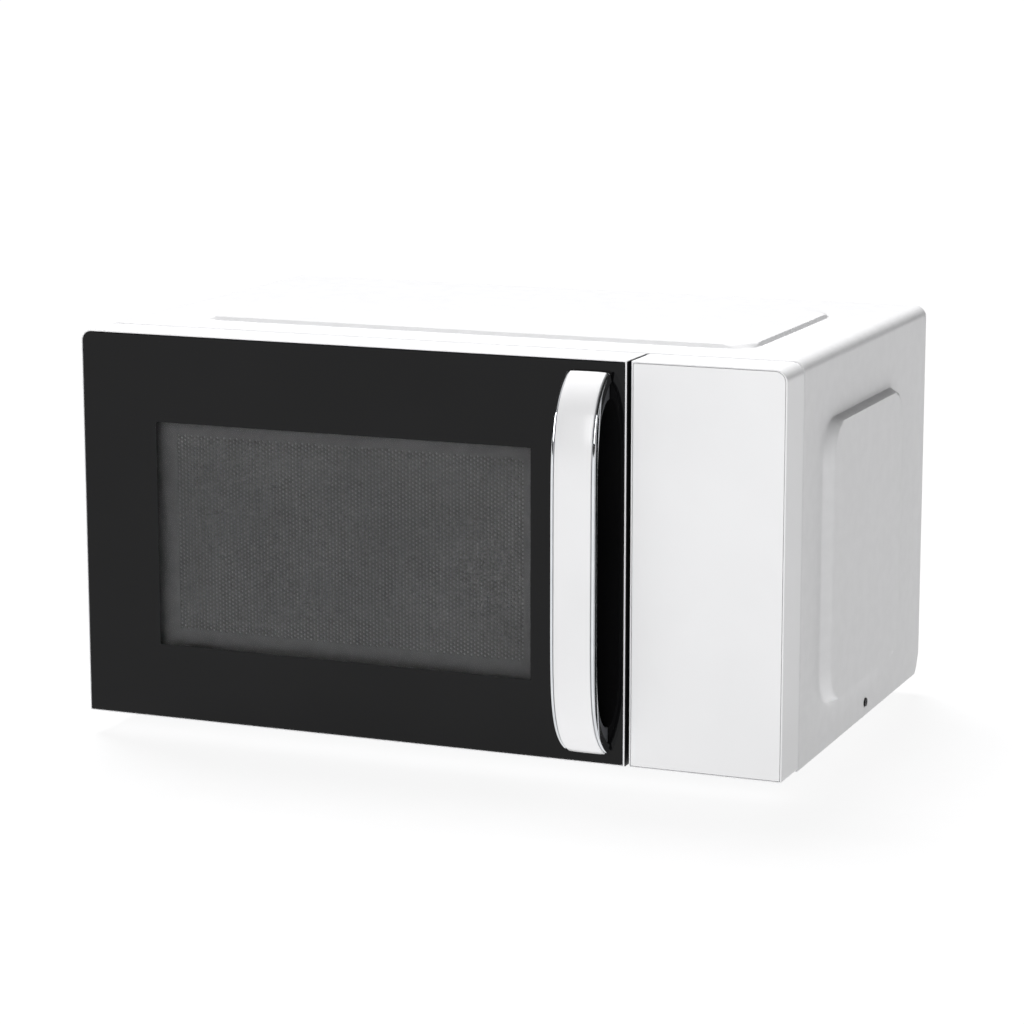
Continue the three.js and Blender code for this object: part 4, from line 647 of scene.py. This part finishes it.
def door_ring(inset, depth, top_left, other=0.3):
    """A ring of the door with extra points on its left side, at the edges of the two hinge slots."""
    inset = np.broadcast_to(np.asarray(inset, float), 4)
    base = ring(door_box, inset, depth, (other, other, top_left, other))
    left_start = 3 * (CORNER_STEPS + 1)
    marks = [slot_spans[1][1], slot_spans[1][0], slot_spans[0][1], slot_spans[0][0]]
    side = base[left_start - 1].copy()
    added = np.stack([[side[0], side[1], low[2] + mark] for mark in marks])
    top = base[left_start - 1][2]
    bottom = base[left_start][2]
    added[:, 2] = np.clip(added[:, 2], bottom + 0.01, top - 0.01)
    return np.concatenate([base[:left_start], added, base[left_start:]]) + [0, door_face, 0]


door_deep = door_back - door_face
door_rings = [
    door_ring(opening, SEAT_DEPTH, 0.5),
    door_ring(seat, SEAT_DEPTH, 6.1),
    door_ring(seat, 0.3, 6.1),
    door_ring(np.array(seat) - 0.12, 0.05, 6.2),
    door_ring(0.45, 0.0, 6.55),
    door_ring(0.15, 0.1, 6.85, 0.4),
    door_ring(0.0, 0.4, 7.0, 0.5),
    door_ring(0.0, SLOT_START, 7.0, 0.5),
]
outer_start = len(door_rings) - 1
for angle in np.linspace(0, math.pi / 2, 8):
    turned = DOOR_TURN * (1 - math.cos(angle))
    small = 0.5 * (1 - math.cos(angle))
    rest = door_deep - 0.5 + 0.5 * math.sin(angle)
    left_depth = door_deep - DOOR_TURN + DOOR_TURN * math.sin(angle)
    door_rings.append(door_ring((turned, small, small, small), (rest, rest, left_depth, rest),
                                max(7.0 - small, 0.5), 0.5))
for angle in np.linspace(math.pi / 2, 0, 6):
    inner = DOOR_TURN - WALL
    turned = WALL + inner * (1 - math.cos(angle))
    rest = door_deep - 0.2 - 2 * (1 - math.sin(angle))
    left_depth = door_deep - DOOR_TURN + inner * math.sin(angle)
    door_rings.append(door_ring((turned, WALL, WALL, WALL), (rest, rest, left_depth, rest), 4.6, 0.4))
door_rings.append(door_ring(WALL, SLOT_START, 4.6, 0.4))
inner_end = len(door_rings) - 1
door_rings.append(door_ring(WALL, SEAT_DEPTH + WEB, 4.6, 0.4))
door_rings.append(door_ring(opening, SEAT_DEPTH + WEB, 0.5))
length = len(door_rings[0])
ids = np.arange(len(door_rings) * length).reshape(len(door_rings), length)
door_quads = grid_faces(ids, close_rows=True, close_columns=True).reshape(len(door_rings), length, 4)
keep = np.ones((len(door_rings), length), bool)
slot_faces = []
first_mark = 3 * (CORNER_STEPS + 1)
for column in (first_mark, first_mark + 2):
    keep[outer_start:inner_end, column] = False
    band = ids[outer_start:inner_end + 1]
    slot_faces += [list(band[:, column]), list(band[::-1, column + 1])]
    slot_faces.append([ids[outer_start, column + 1], ids[outer_start, column],
                       ids[inner_end, column], ids[inner_end, column + 1]])
# The right wall, seen deep in the gap beside the control side, takes the black finish as painted shade.
RIGHT_WALL = CORNER_STEPS
WALL_START = 4
gap_shade_faces = np.zeros((len(door_rings), length), int)
gap_shade_faces[WALL_START:inner_end, RIGHT_WALL] = 1
door_indices = np.concatenate([gap_shade_faces[keep], np.zeros(len(slot_faces), int)])
door_faces = [list(face)[::-1] for face in door_quads[keep]] + slot_faces
make_piece("door_moulding", np.concatenate(door_rings), door_faces, [white_abs, black_polypropylene_and_gap_shade], "door",
           ["door_frame"], sharp=40, indices=door_indices)

# %% [markdown]
# ## The door's glass
# One pane, 3.2 mm thick, with ground edges. The rings go from the window's edge on the front over the
# ground edge to the window's edge on the back, and the two flat window faces take the clear glass.

# %% Glass pane
low, high = span("door_glass")
glass_box = (low[0], high[0], low[2], high[2])
window_inset = (49.7, 57.9, 45.8, 53.2)
thick = high[1] - low[1]
GROUND = 0.35
PRINT_BACK = 3.0
glass_rings = [ring(glass_box, inset, low[1] + depth, (0.4, 0.4, corner, 0.4)) for inset, depth, corner in [
    (np.array(window_inset), 0.0, 0.4), (np.full(4, GROUND), 0.0, 5.5), (np.full(4, 0.1), 0.1, 5.7),
    (np.zeros(4), GROUND, 5.8), (np.zeros(4), thick - 0.2, 5.8), (np.full(4, 0.2), thick, 5.6),
    (np.array(window_inset) - PRINT_BACK, thick, 0.4)]]
points, faces = capped(glass_rings, flip=True)
indices = np.zeros(len(faces), int)
indices[-2:] = 1
make_piece("door_pane", points, faces, [black_glass, window_glass], "door", ["door_glass"],
           indices=indices)

# %% [markdown]
# ## The perforated screen
# Behind the glass a steel pan closes the microwave side. Its middle is punched with rows of holes, set
# off by half a step in every second column. Each hole is the middle of a brick with six points, so a
# six sided hole fits it exactly. The real holes are 1.9 mm apart; here they are 2.5 mm apart, so that
# the sheet stays light enough and the rows still show.

# %% Perforated screen
low, high = span("door_screen")
PITCH_X, PITCH_Z = 2.2, 2.5
HOLE_RADIUS = 0.8
SCREEN_SHEET = 0.48
MESH_INSET = {"left": 59.9, "right": 64.5, "low": 54.6, "high": 60.2}
PAN_INSET = np.array([16.7, 19.2, 19.0, 21.6])
PAN_CORNERS = (3, 3, 3, 3)
RIM_CORNERS = (1, 1, 1, 1)
RIM_TURN = 0.5
RIM_DEEP = 8.0
pane_low, pane_high = span("door_glass")
mesh_left, mesh_right = pane_low[0] + MESH_INSET["left"], pane_high[0] - MESH_INSET["right"]
mesh_low, mesh_high = pane_low[2] + MESH_INSET["low"], pane_high[2] - MESH_INSET["high"]
columns = int((mesh_right - mesh_left) / PITCH_X)
halves = 2 * int((mesh_high - mesh_low) / PITCH_Z)
mesh_x = mesh_left + PITCH_X * np.arange(columns + 1)
mesh_z = mesh_low + PITCH_Z / 2 * np.arange(halves + 1)
front = low[1]
grid_x, grid_z = np.meshgrid(mesh_x, mesh_z, indexing="ij")
lattice = np.stack([grid_x, np.full_like(grid_x, front), grid_z], -1)
lattice_ids = np.arange(lattice.size // 3).reshape(columns + 1, halves + 1)


def punched_sheet():
    """Brick corners come from the lattice; a hole point is the brick's centre plus the radius at an angle."""
    bricks, plain = [], []
    for column in range(columns):
        offset = column % 2
        start = np.arange(offset, halves - 1, 2)
        left_side, right_side = lattice_ids[column], lattice_ids[column + 1]
        bricks.append(np.stack([left_side[start], right_side[start], right_side[start + 1],
                                right_side[start + 2], left_side[start + 2], left_side[start + 1]], -1))
        if offset:
            for k in (0, halves - 1):
                plain.append([left_side[k], right_side[k], right_side[k + 1], left_side[k + 1]])
    bricks = np.concatenate(bricks)
    corner_points = lattice.reshape(-1, 3)[bricks]
    centre = corner_points.mean(1, keepdims=True)
    angle = np.radians([-120, -60, 0, 60, 120, 180])
    hole = centre + HOLE_RADIUS * np.stack([np.cos(angle), 0 * angle, np.sin(angle)], -1)[None]
    hole_ids = lattice_ids.size + np.arange(hole.size // 3).reshape(-1, 6)
    around = [np.stack([bricks[:, k], bricks[:, (k + 1) % 6], hole_ids[:, (k + 1) % 6], hole_ids[:, k]], -1)
              for k in range(6)]
    faces = np.concatenate(around).tolist() + plain
    return np.concatenate([lattice.reshape(-1, 3), hole.reshape(-1, 3)]), faces, len(bricks)


screen_points, screen_faces, hole_count = punched_sheet()
print("screen holes:", hole_count)
screen_box = (low[0], high[0], low[2], high[2])
deep = high[1] - low[1]
BEND = 1.5
bend = np.linspace(0, math.pi / 2, 4)
wall_inset = PAN_INSET - SCREEN_SHEET
flange_y = low[1] + deep - SHEET - SCREEN_SHEET
rim_inset = np.full(4, SCREEN_SHEET)
pan_rings = [ring(screen_box, wall_inset + BEND * (1 - math.sin(turn)), low[1] + BEND * (1 - math.cos(turn)),
                  PAN_CORNERS) for turn in bend]
pan_rings += [ring(screen_box, inset, depth, corners) for inset, depth, corners in [
    (wall_inset, flange_y, PAN_CORNERS), (rim_inset + RIM_TURN, flange_y, RIM_CORNERS),
    (rim_inset, flange_y - RIM_TURN, RIM_CORNERS), (rim_inset, low[1] + deep - RIM_DEEP, RIM_CORNERS)]]
start = len(screen_points)
length = len(pan_rings[0])
pan_ids = start + np.arange(len(pan_rings) * length).reshape(len(pan_rings), length)
pan_faces = grid_faces(pan_ids, close_columns=True)[:, ::-1].tolist()
first = pan_ids[0]
step = CORNER_STEPS + 1
arcs = [first[k * step:(k + 1) * step] for k in range(4)]
border = [lattice_ids[-1, :], lattice_ids[::-1, -1], lattice_ids[0, ::-1], lattice_ids[:, 0]]
edges = [lattice_ids[-1, 0], lattice_ids[-1, -1], lattice_ids[0, -1], lattice_ids[0, 0]]
for k in range(4):
    pan_faces.append([edges[k], *arcs[k]])
    pan_faces.append([arcs[k][-1], arcs[(k + 1) % 4][0], *border[k][::-1]])
faces = screen_faces + pan_faces
screen = make_piece("door_screen_pan", np.concatenate([screen_points] + pan_rings), faces, [screen_paint],
                    "door", ["door_screen"], sharp=40)
thicken(screen, SCREEN_SHEET)

# %% [markdown]
# ## The handle
# The handle is a bow: it stands 29.7 mm off the glass over most of its length and comes back to it at
# both ends. Seen from the side the stand-off is 29.7 times (1 - u to the 6th) to the power 0.75, with u
# from -1 to 1. A chrome channel follows the bow, a gloss white strip is let into it, and a dark carrier
# with a foot at each end lies behind. Each section is carried along the bow, square to it.

# %% Handle bow
HANDLE_OUT = 29.7
END_OUT = 4.0
BOW_POWER, BOW_SOFT = 6, 0.75
strip_low, strip_high = span("handle_strip")
trim_low, trim_high = span("handle_trim")
base_low, base_high = span("handle_base")
BOW_ENDING = (1 - (END_OUT / HANDLE_OUT) ** (1 / BOW_SOFT)) ** (1 / BOW_POWER)
bow_middle = (strip_low[2] + strip_high[2]) / 2
bow_half = (strip_high[2] - strip_low[2]) / 2 / BOW_ENDING


def stand_off(u):
    """The bow's distance from the glass at u."""
    return HANDLE_OUT * np.maximum(0, 1 - np.abs(u) ** BOW_POWER) ** BOW_SOFT


def bow(steps, share=1.0):
    """Points of the bow in y and z with their outward directions, closer together near the ends."""
    reach = math.asin(BOW_ENDING * share)
    u = np.sin(np.linspace(-reach, reach, steps))
    small = 0.002
    slope = (stand_off(u + small) - stand_off(u - small)) / (2 * small * bow_half)
    run = np.hypot(1, slope)
    points = np.stack([door_face - stand_off(u), bow_middle + u * bow_half], -1)
    outward = np.stack([-1 / run, -slope / run], -1)
    return points, outward


def carried(section, steps, middle_x):
    """Each section point (across, in) goes to the bow's point, less the outward direction times in."""
    points, outward = bow(steps)
    y = points[:, None, 0] - outward[:, None, 0] * section[None, :, 1]
    z = points[:, None, 1] - outward[:, None, 1] * section[None, :, 1]
    x = np.broadcast_to(middle_x + section[None, :, 0], y.shape)
    return np.stack([x, y, z], -1)


STRIP_THICK = 2.6
TRIM_THICK = 6.2
handle_x = (strip_low[0] + strip_high[0]) / 2
strip_half = (strip_high[0] - strip_low[0]) / 2
trim_half = (trim_high[0] - trim_low[0]) / 2
across = np.linspace(-1, 1, 13) * (strip_half - 0.7)
crown = 0.35 * (across / strip_half) ** 4
edge = np.linspace(0, math.pi / 2, 5)[1:]
right_edge = np.stack([strip_half - 0.7 + 0.7 * np.sin(edge), 0.3 + 0.7 * (1 - np.cos(edge))], -1)
front_side = np.stack([across, crown], -1)
strip_section = np.concatenate([front_side, right_edge, [[strip_half, STRIP_THICK]],
                                [[-strip_half, STRIP_THICK]], right_edge[::-1] * [-1, 1]])
BOW_STEPS = 97


points, faces = capped(carried(strip_section, BOW_STEPS, handle_x))
make_piece("handle_white_strip", points, faces, [strip_abs], "door", ["handle_strip"],
           sharp=50)
ridge = trim_half - strip_half
inward = [0, 0, 0.15, 0.5, 0.95, 1.35, 1.6, ridge - 0.3, ridge - 0.3]
inner_depth = [TRIM_THICK, 1.4, 0.95, 0.68, 0.6, 0.72, 1.0, 1.6, STRIP_THICK + 0.3]
lip = np.stack([trim_half - np.array(inward), inner_depth], -1)
trim_section = np.concatenate([lip, (lip * [-1, 1])[::-1]])
points, faces = capped(carried(trim_section, BOW_STEPS, handle_x), flip=True)
make_piece("handle_chrome_trim", points, faces, [chrome], "door", ["handle_trim"], sharp=30)

# %% Handle carrier
CARRIER_START = TRIM_THICK + 0.4
CARRIER_THICK = 3.4
FINGER = 50.0
FOOT_CURVE = 34.0
carrier_face = base_high[1]
points, outward = bow(BOW_STEPS)
outer = points - outward * CARRIER_START
outer = outer[outer[:, 0] < carrier_face - 1]
inner = points - outward * (CARRIER_START + CARRIER_THICK)
finger_low, finger_high = strip_low[2] + FINGER, strip_high[2] - FINGER
inner = inner[(inner[:, 1] > finger_low + 2) & (inner[:, 1] < finger_high - 2)][::-1]
turn = np.linspace(0, math.pi / 2, 9)[1:]
reach = carrier_face - inner[0, 0]
curve = np.stack([inner[0, 0] + reach * (1 - np.cos(turn)), FOOT_CURVE * np.sin(turn)], -1)
high_foot = (curve + [0, finger_high])[::-1]
low_foot = curve * [1, -1] + [0, finger_low]
outline = np.concatenate([[[carrier_face, outer[0, 1]]], outer, [[carrier_face, outer[-1, 1]]], high_foot,
                          inner, low_foot])
carrier_rows = np.stack([np.column_stack([np.full(len(outline), x), outline])
                         for x in (base_low[0], base_high[0])])
points, faces = capped(carrier_rows, flip=True)
carrier = make_piece("handle_carrier", points, faces, [dark_polyamide], "door", ["handle_base"],
                     sharp=50)
soften_edges(carrier, 0.5, 50)

# %% [markdown]
# ## The control side
# To the right of the door a white housing holds the overlay, a separate lacquered plate that stands in
# a shallow seat. The thin dark line round it is the gap between the two. The overlay is left plain.

# %% Housing and overlay
low, high = span("control_panel_housing")
panel_box = (low[0], high[0], low[2], high[2])
panel_corner = 7.5
HOUSING_WALL = 7
panel_deep = high[1] - low[1]
housing_section = [(1.0, 1.7), (1.0, 0.25), (0.9, 0.06), (0.7, 0.0), (0.45, 0.06), (0.2, 0.25), (0.05, 0.5),
                   (0.0, 0.8), (0.0, panel_deep - 0.5), (0.15, panel_deep - 0.15), (0.5, panel_deep),
                   (WALL - 0.3, panel_deep), (WALL, panel_deep - 0.3), (WALL, 4.1)]
housing_rings = [ring(panel_box, np.full(4, inset), low[1] + depth,
                      (max(1.5 - inset, 0.3), max(panel_corner - inset, 0.4), 0.3, 0.3))
                 for inset, depth in housing_section]
points, faces = capped(housing_rings, flip=True)
# The left wall, seen in the gap beside the door, takes the black finish as painted shade.
indices = np.zeros(len(faces), int)
LEFT_WALL = 3 * (CORNER_STEPS + 1) - 1
gap_shade_rows = np.arange(HOUSING_WALL, len(housing_rings) - 1)
indices[gap_shade_rows * len(housing_rings[0]) + LEFT_WALL] = 1
make_piece("panel_housing", points, faces, [white_abs, black_polypropylene_and_gap_shade], "chassis",
           ["control_panel_housing"], indices=indices)
low, high = span("control_panel_overlay")
overlay_box = (low[0], high[0], low[2], high[2])
overlay_section = [(0.4, 0.0), (0.15, 0.08), (0.03, 0.2), (0.0, 0.4), (0.0, high[1] - low[1])]
overlay_rings = [ring(overlay_box, np.full(4, inset), low[1] + depth, (0.6, 6.2 - inset, 0.4, 0.4))
                 for inset, depth in overlay_section]
points, faces = capped(overlay_rings, flip=True)
make_piece("panel_overlay", points, faces, [overlay_abs], "chassis", ["control_panel_overlay"])

# %% [markdown]
# ## The glass tray
# The tray is pressed glass and round, so its section is turned about the middle. The section starts under
# the rim, goes out and up round the rim's rolled edge and comes back in over the floor; two flat faces
# close the middle.

# %% Glass tray
TRAY_STEPS = 96
# How far in from the rim, and how high over the underside.
TRAY_IN = np.array([16, 14, 9, 5, 2.2, 0.7, 0.1, 0, 0.35, 1, 2, 2.7, 3.1, 4.2, 6.2, 9, 13, 17])
TRAY_UP = np.array([0, 0.25, 1.6, 3.2, 5.6, 8.2, 10.2, 11.2, 11.75, 12, 12, 11.7, 11, 9, 7.2, 5.7, 4.6, 4])
low, high = span("glass_turntable")
middle = (low + high) / 2
tray_radius = (high[0] - low[0]) / 2


def turned(section, steps):
    """Section rows (radius, z) go round the middle: x is radius times cos a, y is radius times sin a."""
    angle = np.linspace(0, 2 * math.pi, steps, endpoint=False)[None, :]
    radius = section[:, 0][:, None]
    return np.stack([middle[0] + radius * np.cos(angle), middle[1] + radius * np.sin(angle),
                     section[:, 1][:, None] + 0 * angle], -1)


tray_rows = turned(np.stack([tray_radius - TRAY_IN, low[2] + TRAY_UP], -1), TRAY_STEPS)
points, faces = capped(tray_rows)
make_piece("glass_tray", points, faces, [tray_glass], "turntable", ["glass_turntable"])

# %% [markdown]
# ## Moulded and turned parts with softened edges
# The smaller mouldings, the feet and the drive keep their engineering shape, but no real edge is a knife
# edge. A copy of each is merged, its flat faces are joined again, and a narrow bevel rounds the edges so
# that they catch the light.

# %% Softened copies
SOFTENED = {
    "choke_cover": ("door", 0.6, black_polypropylene_and_gap_shade), "latch_hook": ("latch", 0.4, natural_acetal),
    "front_plate": ("chassis", 0.25, cavity_enamel), "cord_gland": ("chassis", 0.4, foot_rubber),
    "foot_front_left": ("chassis", 0.6, foot_rubber), "foot_front_right": ("chassis", 0.6, foot_rubber),
    "foot_rear_left": ("chassis", 0.6, foot_rubber), "foot_rear_right": ("chassis", 0.6, foot_rubber),
    "turntable_coupler": ("turntable", 0.4, natural_acetal), "roller_ring": ("ring", 0.5, natural_acetal),
    "roller_1": ("roller_1", 0.3, natural_acetal), "roller_2": ("roller_2", 0.3, natural_acetal),
    "roller_3": ("roller_3", 0.3, natural_acetal), "fan_blade": ("fan", 0.2, natural_acetal),
}
MERGE = 1e-6
FLAT_ANGLE = math.radians(0.5)
SHARP_EDGE = 40


def softened(node, body, width, finish):
    """Merges a copy's doubles, joins faces that lie in one plane, and rounds the sharp edges."""
    shape = bmesh.new()
    shape.from_mesh(nodes[node].data)
    bmesh.ops.remove_doubles(shape, verts=shape.verts, dist=MERGE)
    bmesh.ops.dissolve_limit(shape, angle_limit=FLAT_ANGLE, verts=shape.verts, edges=shape.edges)
    mesh = bpy.data.meshes.new(node + "_soft")
    shape.to_mesh(mesh)
    shape.free()
    mesh.materials.clear()
    mesh.materials.append(finish)
    mesh.polygons.foreach_set("use_smooth", np.ones(len(mesh.polygons), bool))
    mesh.set_sharp_from_angle(angle=math.radians(SHARP_EDGE))
    piece = bpy.data.objects.new(node + "_soft", mesh)
    bpy.context.scene.collection.objects.link(piece)
    soften_edges(piece, width, SHARP_EDGE).harden_normals = True
    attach(piece, body)
    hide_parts(node)
    return piece


for node, (body, width, finish) in SOFTENED.items():
    softened(node, body, width, finish)
print("softened:", len(SOFTENED))

# %% [markdown]
# ## The latch spring
# A coil of drawn wire pushes the latch down. A wire's circle is carried along a helix; its centre line is
# (R cos a, R sin a, rise times a).

# %% Latch spring
WIRE = 0.45
COILS = 7
COIL_STEPS, WIRE_STEPS = 24, 8
low, high = span("latch_spring")
coil_radius = (high[0] - low[0]) / 2 - WIRE
turn = np.linspace(0, 2 * math.pi * COILS, COILS * COIL_STEPS + 1)[:, None]
around = np.linspace(0, 2 * math.pi, WIRE_STEPS, endpoint=False)[None, :]
reach = coil_radius + WIRE * np.cos(around)
climb = low[2] + WIRE + (high[2] - low[2] - 2 * WIRE) * turn / turn.max()
middle = (low + high) / 2
wire = np.stack([middle[0] + reach * np.cos(turn), middle[1] + reach * np.sin(turn),
                 climb + WIRE * np.sin(around)], -1)
points, faces = capped(wire, flip=True)
spring = make_piece("latch_coil", points, faces, [spring_wire], "door", ["latch_spring"])
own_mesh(spring)

# %% Flat faces stay flat
for piece in pieces:
    weighted = piece.modifiers.new("flat faces", "WEIGHTED_NORMAL")
    weighted.keep_sharp = True

# %% Finish of the engineering parts that keep their shape
kept = {
    cavity_enamel: ["oven_cavity"],
    zinc: ["base_plate", "back_panel", "waveguide", "turntable_motor", "upper_hinge", "lower_hinge"],
    black_zinc: ["side_screw_left", "side_screw_right"],
    mica: ["waveguide_cover"],
    fins: ["magnetron", "hv_capacitor"],
    laminations: ["transformer_core", "fan_motor"],
    copper: ["primary_winding", "secondary_winding"],
    black_phenolic: ["hv_diode", "primary_switch", "secondary_switch", "monitor_switch",
                     "magnetron_thermostat", "cavity_thermostat"],
    natural_acetal: ["fan_shroud", "latch_board"],
    lamp_glass: ["oven_lamp"],
    board_green: ["touch_board", "control_board", "filter_board"],
    white_abs: ["primary_plunger", "secondary_plunger", "monitor_plunger"],
    milky_film: ["window_film"],
}
for finish, names in kept.items():
    for name in names:
        nodes[name].material_slots[0].material = finish
